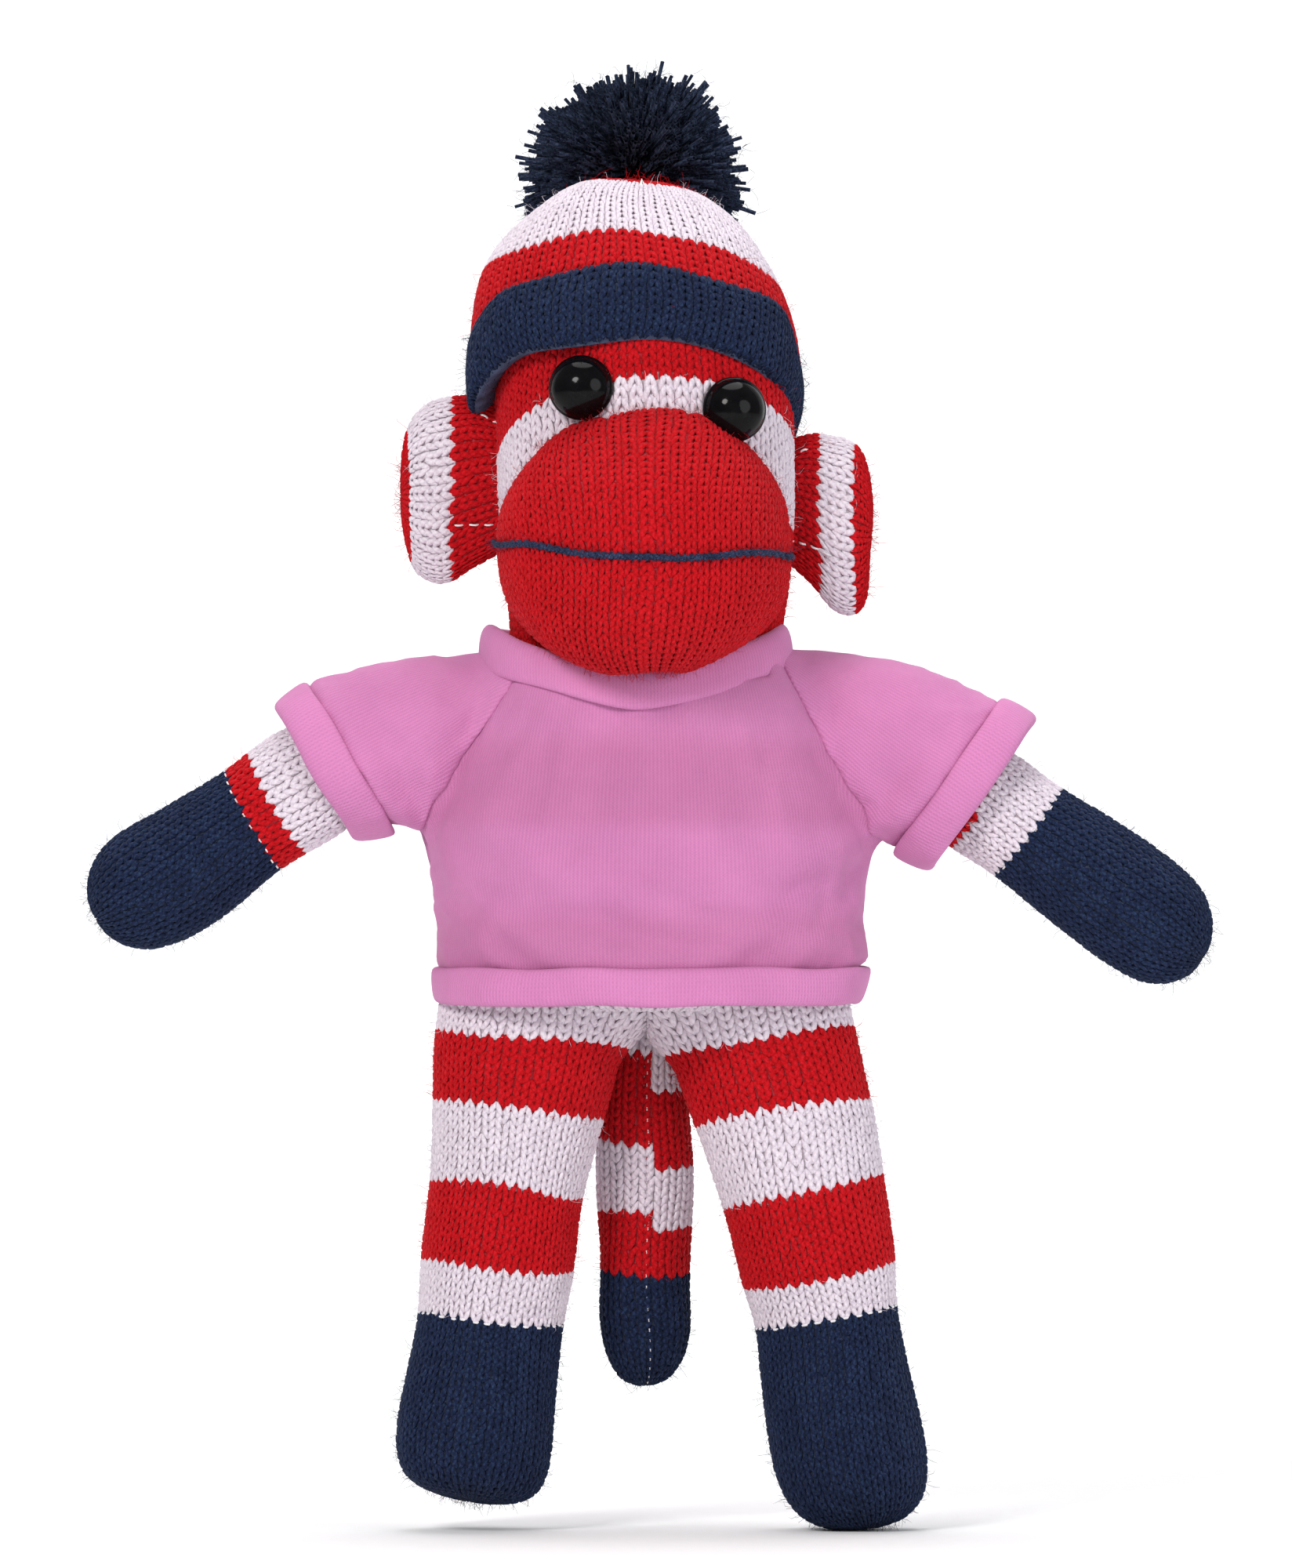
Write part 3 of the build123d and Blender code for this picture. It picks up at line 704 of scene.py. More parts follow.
# ---------------------------------------------------------------- muzzle
# Rows across the face from top to bottom: (y, z, half width)
POUCH = [(-25.5, 208.2, 1.5), (-28.5, 207.4, 6.0), (-33.5, 204.9, 13.2), (-38.2, 200.6, 18.9),
         (-42.2, 194.4, 24.0), (-44.4, 188.0, 26.6), (-45.0, 180.5, 27.0), (-44.4, 174.0, 25.9),
         (-42.4, 168.2, 22.8), (-39.0, 163.2, 17.6), (-34.5, 160.2, 11.6), (-29.5, 159.4, 7.6),
         (-25.0, 160.8, 6.0), (-20.5, 164.5, 6.0)]
POUCH_FULL = 0.92    # below 1 the rows are fuller than an arc


def mouth_height(x):
    return np.interp(x, [-28.5, -16.2, -3.7, 4.2, 15.9, 27.5], [183.6, 181.9, 180.2, 180.1, 181.3, 181.2])


class Pouch:
    """The sock's heel: rows across the face, each an arc that ends on the head."""

    def __init__(self, rows):
        self.length, path = smooth_path(rows)
        self.y, self.z, self.w = path[:, 0], path[:, 1], np.maximum(path[:, 2], 0.5)
        self.total = self.length[-1]
        self.push = lumps(0.7, 90, 20.0)

    def row(self, s):
        y, z, w = (np.interp(np.clip(s, 0, self.total), self.length, k) for k in (self.y, self.z, self.w))
        head_depth = np.interp(z, [160, 172, 185, 215], [13.0, 17.0, 24.5, 27.0])
        back = -head_depth * np.sqrt(np.clip(1 - (w / 28.6) ** 2, 0.01, 1))
        return y, z, w, np.maximum(back, y + 4.0)

    def radius(self, s):
        y, _, w, back = self.row(s)
        return np.sqrt((w**2 + (back - y) ** 2) / 2)

    def reach(self, s):
        return self.radius(s) * math.pi / 2

    def at(self, s, t):
        y, z, w, back = self.row(s)
        phi = np.clip(t / self.radius(s), -math.pi / 2, math.pi / 2)
        c = np.cos(phi)
        x = MUZZLE_X + w * np.sign(phi) * np.abs(np.sin(phi)) ** POUCH_FULL
        depth = back + (y - back) * c**0.9 + 1.1 * np.exp(-((z - mouth_height(x)) / 1.7) ** 2) * c
        return self.push(np.stack([x, depth, z], -1))

    def normal(self, s, t):
        e = 0.2
        s = np.clip(s, e, self.total - e)
        n = np.cross(self.at(s, t + e) - self.at(s, t - e), self.at(s + e, t) - self.at(s - e, t))
        return facing(n, self.at(s, t) - np.array([MUZZLE_X, -14.0, 184.0]))


class PouchByShare:
    """The pouch with its columns counted from -1 to 1 across each row."""

    def at(self, s, t):
        return pouch.at(s, t * pouch.reach(s))

    def normal(self, s, t):
        return pouch.normal(s, t * pouch.reach(s))


pouch = Pouch(POUCH)
rows = int(pouch.total / COURSE)
s_list, t_list = [], []
for j in range(rows):
    s = (j + 0.5) * pouch.total / rows
    half = int((float(pouch.reach(s)) - 0.8) / WALE)
    columns = np.arange(-half, half + 1) * WALE
    s_list.append(np.full(len(columns), s))
    t_list.append(columns)
s_all, t_all = np.concatenate(s_list), np.concatenate(t_list)
parts = MeshParts()
add_stitches(parts, pouch, s_all, t_all, pouch.total / rows, WALE, np.full(len(s_all), RED), flip=False)
gs = np.linspace(0.05, pouch.total - 0.05, 60)[:, None] + np.zeros((1, 60))
gt = np.linspace(-1, 1, 60)[None, :] * pouch.reach(gs)
add_grid(parts, pouch.at(gs, gt) - pouch.normal(gs, gt) * BACKING, np.stack([gs / 3, gt], -1), RED + GROUND)
add_fuzz(parts, PouchByShare(), (1, pouch.total - 6), (-0.95, 0.95), 800, plain(RED))
attach(parts.build("muzzle_knit", yarns), "head", "muzzle_skin")

parts = MeshParts()
add_grid(parts, lumps(0.6, 12, 6)(pouch.at(gs, gt) - pouch.normal(gs, gt) * 2.2), np.stack([gs, gt], -1), 0)
attach(parts.build("muzzle_filling", [fill_mat]), "head", "muzzle_stuffing")


def pouch_front(x, z):
    """The muzzle's surface in front of a point of the front view."""
    down = int(np.argmin(pouch.z)) + 1
    s = np.interp(-z, -pouch.z[:down], pouch.length[:down])
    share = np.clip(np.abs(x - MUZZLE_X) / pouch.row(s)[2], 0, 0.999)
    t = np.arcsin(share ** (1 / POUCH_FULL)) * np.sign(x - MUZZLE_X) * pouch.radius(s)
    return pouch.at(s, t), pouch.normal(s, t)


x = np.linspace(-27.6, 26.6, 90)
base, nor = pouch_front(x, mouth_height(x))
core = base + nor * (0.62 + 0.105 * np.cos(x * TURN / 9.0))[:, None]
aside = np.cross(unit(np.gradient(core, axis=0)), nor)
parts = MeshParts()
for ply in (0, math.pi):
    turn = x * TURN / 2.6 + ply
    path = core + 0.32 * (np.cos(turn)[:, None] * nor + np.sin(turn)[:, None] * aside)
    add_strands(parts, path[None], 0.46, 8, 0, taper=False)
add_fuzz(parts, Scatter(core, nor), (0, 89), (0, 1), 220, plain(0), (0.8, 2.0))
attach(parts.build("mouth_strand", [mouth_mat]), "head", "mouth_yarn")

# ---------------------------------------------------------------- eyes
EYE_OUTLINE = [(-4.5, 0.0), (-4.5, 3.2), (-1.2, 4.8), (-0.5, 5.75), (-0.15, 6.0), (0.3, 6.03), (0.7, 5.9),
               (1.0, 5.62), (1.25, 5.5), (1.9, 5.2), (2.7, 4.6), (3.5, 3.7), (4.1, 2.7), (4.5, 1.6),
               (4.65, 0.7), (4.7, 0.0)]
_, eye_path = smooth_path(EYE_OUTLINE, 6)
ring = np.linspace(0, TURN, 73)
for side, seat, yaw in (("left", (-12.4, -25.6, 211.9), -10), ("right", (15.9, -24.4, 207.9), 14)):
    ang = math.radians(yaw)
    look = unit(np.array([math.sin(ang), -math.cos(ang), 0.06]))
    across = unit(np.cross(look, Z))
    top = np.cross(across, look)
    circle = np.cos(ring)[None, :, None] * across + np.sin(ring)[None, :, None] * top
    height, width = eye_path[:, 0][:, None, None], np.maximum(eye_path[:, 1], 0)[:, None, None]
    p = np.array(seat) + height * look + width * circle
    parts = MeshParts()
    outward_faces = sheet_faces(*p.shape[:2])[:, [0, 3, 2, 1]]
    parts.add(p.reshape(-1, 3), outward_faces, np.zeros((p.size // 3, 2)), 0)
    attach(parts.build("eye_dome_" + side, [eye_mat]), "head", "eye_" + side)

# The eyes' washers stay as CAD, in white plastic
for side in WAY:
    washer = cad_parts["eye_washer_" + side].data
    washer.materials.clear()
    washer.materials.append(washer_mat)

# ---------------------------------------------------------------- ears
EAR = {
    "left": dict(root=(-26.6, 0.6, 196.6), edges=(10.2, 17.6), seed=55,
                 outline=[(-1, 12.6), (2, 13.8), (6, 15.6), (10, 16.7), (13.6, 16.5), (16.4, 14.9),
                          (18.0, 11.8), (18.9, 6.6), (19.1, 0)],
                 spine=[(-2, 196.6), (6, 195.0), (12, 193.0), (20, 192.2)]),
    "right": dict(root=(25.2, 0.6, 192.2), edges=(7.6, 13.8), seed=66,
                  outline=[(-1, 11.2), (2, 12.0), (5, 13.7), (8.5, 15.7), (11.5, 16.0), (13.9, 14.6),
                           (15.4, 11.2), (16.1, 6.2), (16.3, 0)],
                  spine=[(-2, 192.4), (5, 190.4), (10, 187.2), (17, 185.6)]),
}
for side, data in EAR.items():
    rx, ry, rz = data["root"]
    way, wave = WAY[side], lumps(0.55, data["seed"], 13.0)

    def ear_shape(p, a, th, wave=wave, rz=rz):
        p = p.copy()
        p[..., 1] -= 0.9 * np.cos((p[..., 2] - rz) / 9.0) * np.clip(a / 12, 0, 1)
        return wave(p)

    def ear_stitches(parts):
        """Two rows of hand stitches where the ear is sewn on."""
        for aside, start, end in ((-0.72, 1.5, 10.5), (0.80, 2.0, 5.0)):
            for q in np.arange(start, end, 2.6):
                ss = np.array([[q, q + 0.5, q + 1.1, q + 1.6]])
                tt = -math.pi / 2 + aside + 0.03 * (ss - start)
                lifts = np.array([0, 0.85, 0.85, 0])
                pts = ear.at(ss, tt) + ear.normal(ss, tt) * lifts[None, :, None]
                add_strands(parts, pts, 0.2, 5, THREAD, taper=False)

    def ride_ear(obj, side=side, way=way, x0=(rx + way * 1.6) * MM):
        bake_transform(obj)

    spine = [(a, rx + way * a, ry + 0.012 * a * a, z) for a, z in data["spine"]]
    ear = Tube(data["outline"], spine, Z, Y, 0.16, ear_shape)
    knit_piece("ear_knit_" + side, "ear_" + side, ride_ear, ear, 0.6, ear.total - 1.0, 30,
               stripes(ear, RED, data["edges"]), fuzz=220, trim=ear_stitches)

# ---------------------------------------------------------------- hat
HAT_AXIS = unit(np.array([0.062, 0.37, 0.927]))
HAT_SIDE = unit(np.cross(HAT_AXIS, -Y))
HAT_BACK = np.cross(HAT_AXIS, HAT_SIDE)
hat_spine = line_spine(np.array([-2.6, 0.8, 214.0]), HAT_AXIS, -20, 60)
crown_push, cuff_push = lumps(0.8, 101, 22.0), lumps(0.9, 111, 18.0)


def crown_shape(p, a, th):
    """The crown slouches a little to one side."""
    p = crown_push(p)
    p[..., 0] -= 1.6 * np.clip(a / 20, 0, 1.3)
    return p


def cuff_shape(p, a, th):
    """The rolled brim rides up over the face."""
    toward = np.clip(-np.sin(th) * np.sign(HAT_BACK[1]), -0.4, 1)[..., None]
    return cuff_push(p + HAT_AXIS * (3.2 * toward + 0.6 * np.cos(th)[..., None]))


crown = Tube([(-6, 30.0), (0, 30.4), (8, 30.0), (15, 28.8), (22, 26.0), (28.5, 21.6), (33.5, 15.8),
              (36.8, 9.6), (38.4, 4.2), (38.8, 0)], hat_spine, HAT_SIDE, HAT_BACK, 0.97, crown_shape)
cuff = Tube([(-3.4, 26.4), (-5.6, 27.4), (-6.8, 28.9), (-7.0, 30.4), (-5.5, 31.2), (-2, 31.6), (2, 31.5),
             (5.2, 31.0), (6.6, 30.4), (7.2, 29.6), (6.6, 28.6)], hat_spine, HAT_SIDE, HAT_BACK, 0.97,
             cuff_shape)
knit_piece("hat_crown_knit", "hat_crown", "head", crown, at_along(crown, 4),
           crown.total - 1.5, 66, stripes(crown, RED, (18.6, 34.6)), fuzz=700)
knit_piece("hat_cuff_knit", "hat_cuff", "head", cuff, 0.3, cuff.total - 0.3, 70, plain(NAVY),
           fuzz=900, drop=0.4)

# ---------------------------------------------------------------- pompom
POM_AXIS = unit(np.array([0, 0.75, 0.66]))
POM_TIE = np.array([-3, 20.2, 247.0])
POM_MID = POM_TIE + POM_AXIS * 10.5
POM_SIDE = np.cross(POM_AXIS, X)
POM_TALL, POM_WIDE = 12.8, 20.2
POM_STRANDS, POM_CLUMPS = 5200, 110
k = np.arange(POM_STRANDS) + 0.5
cos_t = 1 - 1.62 * k / POM_STRANDS
spin = k * math.pi * (3 - math.sqrt(5))
sin_t = np.sqrt(1 - cos_t**2)
circle = np.cos(spin)[:, None] * X + np.sin(spin)[:, None] * POM_SIDE
direction = cos_t[:, None] * POM_AXIS + sin_t[:, None] * circle
direction += rng.normal(0, 0.10, direction.shape)
clump = unit(rng.normal(0, 1, (POM_CLUMPS, 3)))
near = np.argmax(direction @ clump.T, axis=1)
direction = unit(direction * 0.74 + clump[near] * 0.26)
along_axis = direction @ POM_AXIS
reach = 1 / np.sqrt((along_axis / POM_TALL) ** 2 + (1 - along_axis**2) / POM_WIDE**2)
reach *= 1 - 0.13 * np.exp(-((np.arctan2(direction[:, 2], direction[:, 0]) - 2.25) / 0.28) ** 2)
reach *= rng.uniform(0.87, 1.03, POM_CLUMPS)[near] * np.clip(rng.normal(0.98, 0.06, POM_STRANDS), 0.8, 1.05)
bend = rng.normal(0, 1.5, (POM_STRANDS, 3))
t = np.array([0.30, 0.55, 0.80, 1.0])
pts = POM_MID + direction[:, None] * (reach[:, None] * t)[..., None]
pts += bend[:, None] * (t**2)[None, :, None] * 0.8
# Strands that would run into the crown are lifted off it
low = (pts - POM_TIE) @ POM_AXIS
radial = np.linalg.norm(pts - POM_TIE - low[..., None] * POM_AXIS, axis=2)
crown_top = np.where(radial < 10, 0.8, 0.8 - (radial - 10) * 0.22)
pts += np.clip(crown_top - low, 0, None)[..., None] * POM_AXIS
parts = MeshParts()
add_strands(parts, pts, rng.uniform(0.32, 0.45, POM_STRANDS), 5, 0, taper=False)
add_fuzz(parts, Scatter(pts[:, -1], direction), (0, POM_STRANDS - 1), (0, 1), 2600, plain(0), (0.8, 2.4))
attach(parts.build("pompom_yarn", [pompom_mat]), "pompom", "pompom")

# The yarn wound round the middle of the pompom and through the crown
turn = np.linspace(0, 11 * TURN, 331)
lean = turn * 0.23
around = np.cos(lean)[:, None] * X + np.sin(lean)[:, None] * POM_SIDE
winding = POM_TIE + 1.35 * (np.cos(turn)[:, None] * around + np.sin(turn)[:, None] * POM_AXIS)
parts = MeshParts()
add_strands(parts, winding[None], 0.34, 7, 0)
attach(parts.build("pompom_knot", [pompom_mat]), "pompom", "pompom_tie")

# ---------------------------------------------------------------- shirt
# Sleeve rows: (distance from the shoulder, centre above the axis, half height, half depth)
SLEEVE = {
    "left": [(-16, 0.0, 5.4, 6.0), (-9.4, 0.2, 8.2, 9.0), (0, -0.2, 13.7, 12.8), (8, 0.7, 15.6, 13.6),
             (16.3, 1.9, 16.2, 13.8), (21.6, 2.6, 14.8, 13.3), (25.3, 2.8, 13.5, 12.9),
             (34, 4.6, 12.6, 12.6)],
    "right": [(-18, -0.5, 4.7, 6.0), (-12, -0.5, 7.4, 8.8), (-1.4, -0.2, 13.3, 12.6), (8, 0.1, 16.0, 13.8),
              (17.7, 0.4, 17.2, 14.0), (26.7, 1.2, 16.5, 13.4), (34, 2.6, 16.4, 13.2)],
}
SLEEVE_END = {"left": 25.3, "right": 26.7}
CUFF_DEEP = 7.9
HEM_SEAM, HEM_END = 104.4, 97.9
COLLAR_Z, COLLAR_LEAN = 160.6, 0.12    # the collar's cut: its height at the middle and its rise to the back
# Raglan seams: a point (x, z) on each and its normal's (x, z)
RAGLAN = {"left": ((-26.1, 156.8), (-0.844, 0.535)), "right": ((26.4, 158.9), (0.88, 0.474))}
# Body rows: (z, centre x, half width, half depth)
BODY = [(84, 0.8, 41.2, 25.6), (92, 0.8, 41.4, 25.8), (98, 0.8, 41.3, 25.8), (104, 0.9, 40.7, 25.6),
        (112, 0.8, 40.3, 25.8), (125, 0.0, 41.2, 25.6), (136, 0.0, 40.4, 24.8), (146, 0.0, 37.6, 23.2),
        (155, -0.3, 33.6, 21.6), (160, -0.6, 31.4, 20.6), (164, -0.9, 28.6, 19.4)]
NECK_X = -2.2        # middle of the neck's opening
CLOTH_CELL = 2.2     # size of the cloth's faces
CLOTH_THICK = 1.2
SNAP = 0.6           # vertices this close to a seam move onto it
ON_SEAM = 1e-3       # slack when a vertex is tested against a seam it was cut on


def closed_loft(rings):
    """A closed mesh through rings of points, shape (rows, count, 3)."""
    n, m = rings.shape[:2]
    faces = [tuple(f) for f in ring_faces(n, m).tolist()]
    faces += [tuple(range(m))[::-1], tuple(range((n - 1) * m, n * m))]
    return rings.reshape(-1, 3).tolist(), faces


def ellipse_rings(rows):
    th = np.linspace(0, TURN, 64, endpoint=False)
    rings = [(cx + rx * np.cos(th), ry * np.sin(th), np.full(64, z)) for z, cx, rx, ry in rows]
    return np.stack([np.stack(ring, -1) for ring in rings])


def dense_rows(rows):
    rows = np.array(rows, float)
    _, path = smooth_path(rows[:, [0, 2, 1, 3]], 24)
    return [(k, *(np.interp(k, path[:, 0], path[:, c]) for c in (2, 1, 3)))
            for k in np.arange(rows[0, 0], rows[-1, 0] + 0.01, 2.5)]


def sleeve_rings(side, grow=0.0, low=-16, high=34):
    outward, upward = arm_frame(side)
    rows = np.array(SLEEVE[side])
    th = np.linspace(0, TURN, 48, endpoint=False)
    rings = []
    for t in np.arange(low, high + 0.1, 2.0):
        lift, tall, deep = (np.interp(t, rows[:, 0], rows[:, k]) for k in (1, 2, 3))
        c = SHOULDER[side] + outward * t + upward * lift
        rings.append(c + (tall + grow) * np.cos(th)[:, None] * upward
                     + (deep + grow) * np.sin(th)[:, None] * np.cross(outward, upward))
    return np.stack(rings)


def raw_mesh(name, *pieces):
    verts, faces = [], []
    for v, f in pieces:
        base = len(verts)
        verts += v
        faces += [tuple(i + base for i in q) for q in f]
    mesh = bpy.data.meshes.new(name)
    mesh.from_pydata([(x * MM, y * MM, z * MM) for x, y, z in verts], [], faces)
    mesh.update()
    return new_object(name, mesh)


def bake(obj):
    """Turns the object's modifiers into plain mesh."""
    graph = bpy.context.evaluated_depsgraph_get()
    graph.update()
    done = bpy.data.meshes.new_from_object(obj.evaluated_get(graph))
    obj.modifiers.clear()
    old = obj.data
    obj.data = done
    bpy.data.meshes.remove(old)


def bake_fine(obj):
    fine = obj.modifiers.new("fine", "SUBSURF")
    fine.levels = fine.render_levels = 1
    bake(obj)


shirt = raw_mesh("shirt_work", closed_loft(ellipse_rings(dense_rows(BODY))),
                 closed_loft(sleeve_rings("left")), closed_loft(sleeve_rings("right")))
weld = shirt.modifiers.new("weld", "REMESH")
weld.mode = "VOXEL"
weld.voxel_size = CLOTH_CELL * MM
soften = shirt.modifiers.new("soften", "SMOOTH")
soften.factor = 0.5
soften.iterations = 6
bake(shirt)
bm = bmesh.new()
bm.from_mesh(shirt.data)


def slice_off(point, normal):
    """Cuts away the cloth beyond a plane."""
    bmesh.ops.bisect_plane(bm, geom=bm.verts[:] + bm.edges[:] + bm.faces[:], dist=1e-6,
                           plane_co=Vector(point) * MM, plane_no=Vector(normal), clear_outer=True)


def score(point, normal, keep=None):
    """Cuts a seam line along a plane; vertices close to it move onto it."""
    geom = bm.faces[:] if keep is None else [f for f in bm.faces if keep(f.calc_center_median() / MM)]
    edges = list({e for f in geom for e in f.edges})
    verts = list({v for f in geom for v in f.verts})
    way = Vector(normal).normalized()
    for v in verts:
        off = (v.co - Vector(point) * MM) @ way
        if abs(off) < SNAP * MM:
            v.co -= way * off
    bmesh.ops.bisect_plane(bm, geom=verts + edges + geom, dist=1e-6, plane_co=Vector(point) * MM,
                           plane_no=Vector(normal))


def under_collar(c):
    """The cloth cut away for the neck: all of it hides behind the neckband."""
    x = c.x - NECK_X
    round_neck = (x / 26.2) ** 2 + (c.y / 18.8) ** 2 < 1 and c.z > 150
    return round_neck or (abs(x) < 25.2 and c.z > COLLAR_Z + COLLAR_LEAN * c.y)


slice_off((0, 0, HEM_END), (0, 0, -1))
score((0, 0, COLLAR_Z), (0, -COLLAR_LEAN, 1), lambda c: abs(c.x) < 27)
inside = [f for f in bm.faces if under_collar(f.calc_center_median() / MM)]
bmesh.ops.delete(bm, geom=inside, context="FACES")
for side, way in WAY.items():
    outward, upward = arm_frame(side)
    end = SHOULDER[side] + outward * SLEEVE_END[side]
    slice_off(end, outward)
    score(end - outward * CUFF_DEEP, outward, lambda c: c.x * way > 36 and 110 < c.z < 170)
    (px, pz), (nx, nz) = RAGLAN[side]
    score((px, 0, pz), (nx, 0, nz), lambda c: c.x * way > 15)
score((0, 0, HEM_SEAM), (0, 0, 1))
bmesh.ops.triangulate(bm, faces=[f for f in bm.faces if len(f.verts) > 4])
bm.to_mesh(shirt.data)
bm.free()
rest = np.array([v.co for v in shirt.data.vertices]) / MM


def wrinkle(p):
    """Soft folds: pulls from each armpit across the chest, sags over the belly, hem ripples."""
    out = p.copy()
    x, y, z = p[:, 0], p[:, 1], p[:, 2]
    push = np.zeros(len(p))
    for ax, az, phase in ((-41, 131, 0.3), (43, 128, 1.7)):
        dx, dz = x - ax, z - az
        r = np.hypot(dx, dz)
        ang = np.arctan2(dz, -np.sign(ax) * dx)
        push += 0.85 * np.sin(ang * 5.0 + phase + r * 0.05) * np.exp(-((r - 12) / 12.0) ** 2)
    push += 0.55 * np.sin(x * 0.16 + 0.05 * z + 1.2) * np.exp(-((z - 99) / 10.0) ** 2)
    push += 0.95 * np.sin(z * 0.33 + 0.10 * x + 0.6 * np.sin(x * 0.09)) * np.exp(-((z - 116) / 12.0) ** 2)
    push += 0.60 * np.sin(z * 0.25 - 0.16 * x + 2.0) * np.exp(-((z - 145) / 9.0) ** 2)
    out[:, 1] += np.sign(y) * push * np.clip(np.abs(y) / 8, 0, 1)
    for side in WAY:
        outward, upward = arm_frame(side)
        rel = p - SHOULDER[side]
        t = rel @ outward
        radial = unit(rel - t[:, None] * outward)
        under = np.clip(0.4 - radial @ upward, 0, 1)
        fold = 0.9 * np.sin(t * 0.6 + 2.4 * radial[:, 1] + 0.8) * under * np.exp(-((t - 12) / 8.5) ** 2)
        out += radial * fold[:, None]
    return out


def drape(cloth, bodies, frames):
    """Lets the cloth settle over the stuffed shapes, then keeps the result."""
    scene = bpy.context.scene
    for body in bodies:
        hit = body.modifiers.new("hit", "COLLISION")
        hit.settings.thickness_outer = 0.0006
        hit.settings.cloth_friction = 12
    mod = cloth.modifiers.new("drape", "CLOTH")
    for key, value in dict(quality=7, mass=0.15, tension_stiffness=20, compression_stiffness=12,
                           shear_stiffness=6,
                           bending_stiffness=0.35, tension_damping=8, compression_damping=8,
                           shrink_min=-0.025, vertex_group_mass="held").items():
        setattr(mod.settings, key, value)
    mod.settings.effector_weights.gravity = 0.25
    mod.collision_settings.distance_min = 0.001
    mod.collision_settings.collision_quality = 3
    for clock in (scene, mod.point_cache):
        clock.frame_start, clock.frame_end = 1, frames
    for k in range(1, frames + 1):
        scene.frame_set(k)
    bake(cloth)
    scene.frame_set(1)
    for body in bodies:
        bpy.data.objects.remove(body)


def past_end(p, side, before):
    """Whether points lie beyond the sleeve's end, less a distance before it."""
    return (p - SHOULDER[side]) @ arm_frame(side)[0] > SLEEVE_END[side] - before


shirt.data.vertices.foreach_set("co", (wrinkle(rest) * MM).astype(np.float32).ravel())
shirt.data.update()
inner_rows = [(z, cx * 0.6, rx - 2.6, ry - 2.8) for z, cx, rx, ry in dense_rows(BODY)]
stuffing = [raw_mesh("torso_block", closed_loft(ellipse_rings(inner_rows)))]
for side in WAY:
    stuffing.append(raw_mesh("arm_block_" + side, closed_loft(sleeve_rings(side, -2.8, -12, 40))))
group = shirt.vertex_groups.new(name="held")
for v in shirt.data.vertices:
    p = np.array(v.co) / MM
    hold = 1.0 if p[2] > 157.5 + 0.1 * p[1] and abs(p[0]) < 31 else 0.0
    if past_end(p, "left", 2) or past_end(p, "right", 2):
        hold = 0.75
    if p[2] < 99.5:
        hold = 0.5
    if hold:
        group.add([v.index], hold, "REPLACE")
drape(shirt, stuffing, frames=22)
after = np.array([v.co for v in shirt.data.vertices])

# Each face of the cloth goes to the panel whose seams enclose it
face_verts = [list(p.vertices) for p in shirt.data.polygons]
in_hem = rest[:, 2] < HEM_SEAM + ON_SEAM
in_sleeve, in_cuff = {}, {}
for side, way in WAY.items():
    (px, pz), (nx, nz) = RAGLAN[side]
    in_sleeve[side] = (rest[:, 0] * way > 15) & ((rest[:, 0] - px) * nx + (rest[:, 2] - pz) * nz > -ON_SEAM)
    in_cuff[side] = past_end(rest, side, CUFF_DEEP + ON_SEAM)


def panel_of(v):
    for side in WAY:
        if in_sleeve[side][v].all():
            return "sleeve_cuff_" + side if in_cuff[side][v].all() else "sleeve_" + side
    if in_hem[v].all():
        return "hem_band"
    return "shirt_front" if rest[v, 1].mean() < 0 else "shirt_back"


face_panel = [panel_of(np.array(v)) for v in face_verts]
shirt.data.calc_loop_triangles()
tri = np.array([t.vertices for t in shirt.data.loop_triangles])
corner = [after[tri[:, c]] / MM for c in range(3)]
tri_normal = np.cross(corner[1] - corner[0], corner[2] - corner[0])
cloth_normals = np.zeros((len(after), 3))
for c in range(3):
    np.add.at(cloth_normals, tri[:, c], tri_normal)
cloth_normals = unit(cloth_normals)


def jersey_uv(p, panel):
    """Millimetres round and along the panel."""
    side = panel.rsplit("_", 1)[-1]
    if side in WAY:
        outward, upward = arm_frame(side)
        rel = p - SHOULDER[side]
        return np.stack([np.arctan2(rel[:, 1], rel @ upward) * 14.0, rel @ outward], 1)
    return np.stack([np.arctan2(p[:, 1] / 25.0, p[:, 0] / 40.0) * 33.0, p[:, 2]], 1)


def cut_piece(name, panel, mat, below):
    """One cloth panel with its own thickness, cut along its seams.

    below lists which neighbours its edge runs on under, ring by ring of faces."""
    chosen = [f for f, k in zip(face_verts, face_panel) if k == panel]
    core = {i for f in chosen for i in f}
    seam = core & {i for f, k in zip(face_verts, face_panel) if k != panel for i in f}
    reach, seam_depth = set(core), 0.7 if panel.startswith("shirt") else 0.2
    for start in below:
        ring = [f for f, k in zip(face_verts, face_panel) if k != panel and k.startswith(start)
                and reach.intersection(f) and not reach.issuperset(f)]
        chosen += ring
        reach.update(i for f in ring for i in f)
    used = sorted({i for f in chosen for i in f})
    index = {v: k for k, v in enumerate(used)}
    out_by = np.array([[-seam_depth if i in seam else 0.0 if i in core else -1.2] for i in used])
    mesh = bpy.data.meshes.new(name)
    mesh.from_pydata((after[used] + cloth_normals[used] * out_by * MM).tolist(), [],
                     [[index[i] for i in f] for f in chosen])
    mesh.polygons.foreach_set("use_smooth", np.ones(len(chosen), bool))
    layer = mesh.uv_layers.new(name="UVMap")
    loops = np.zeros(len(mesh.loops), int)
    mesh.loops.foreach_get("vertex_index", loops)
    layer.data.foreach_set("uv", jersey_uv(rest[used], panel)[loops].astype(np.float32).ravel())
    mesh.materials.append(mat)
    obj = new_object(name, mesh)
    thick = obj.modifiers.new("thick", "SOLIDIFY")
    thick.thickness = CLOTH_THICK * MM
    thick.offset = -1
    bake_fine(obj)
    return obj


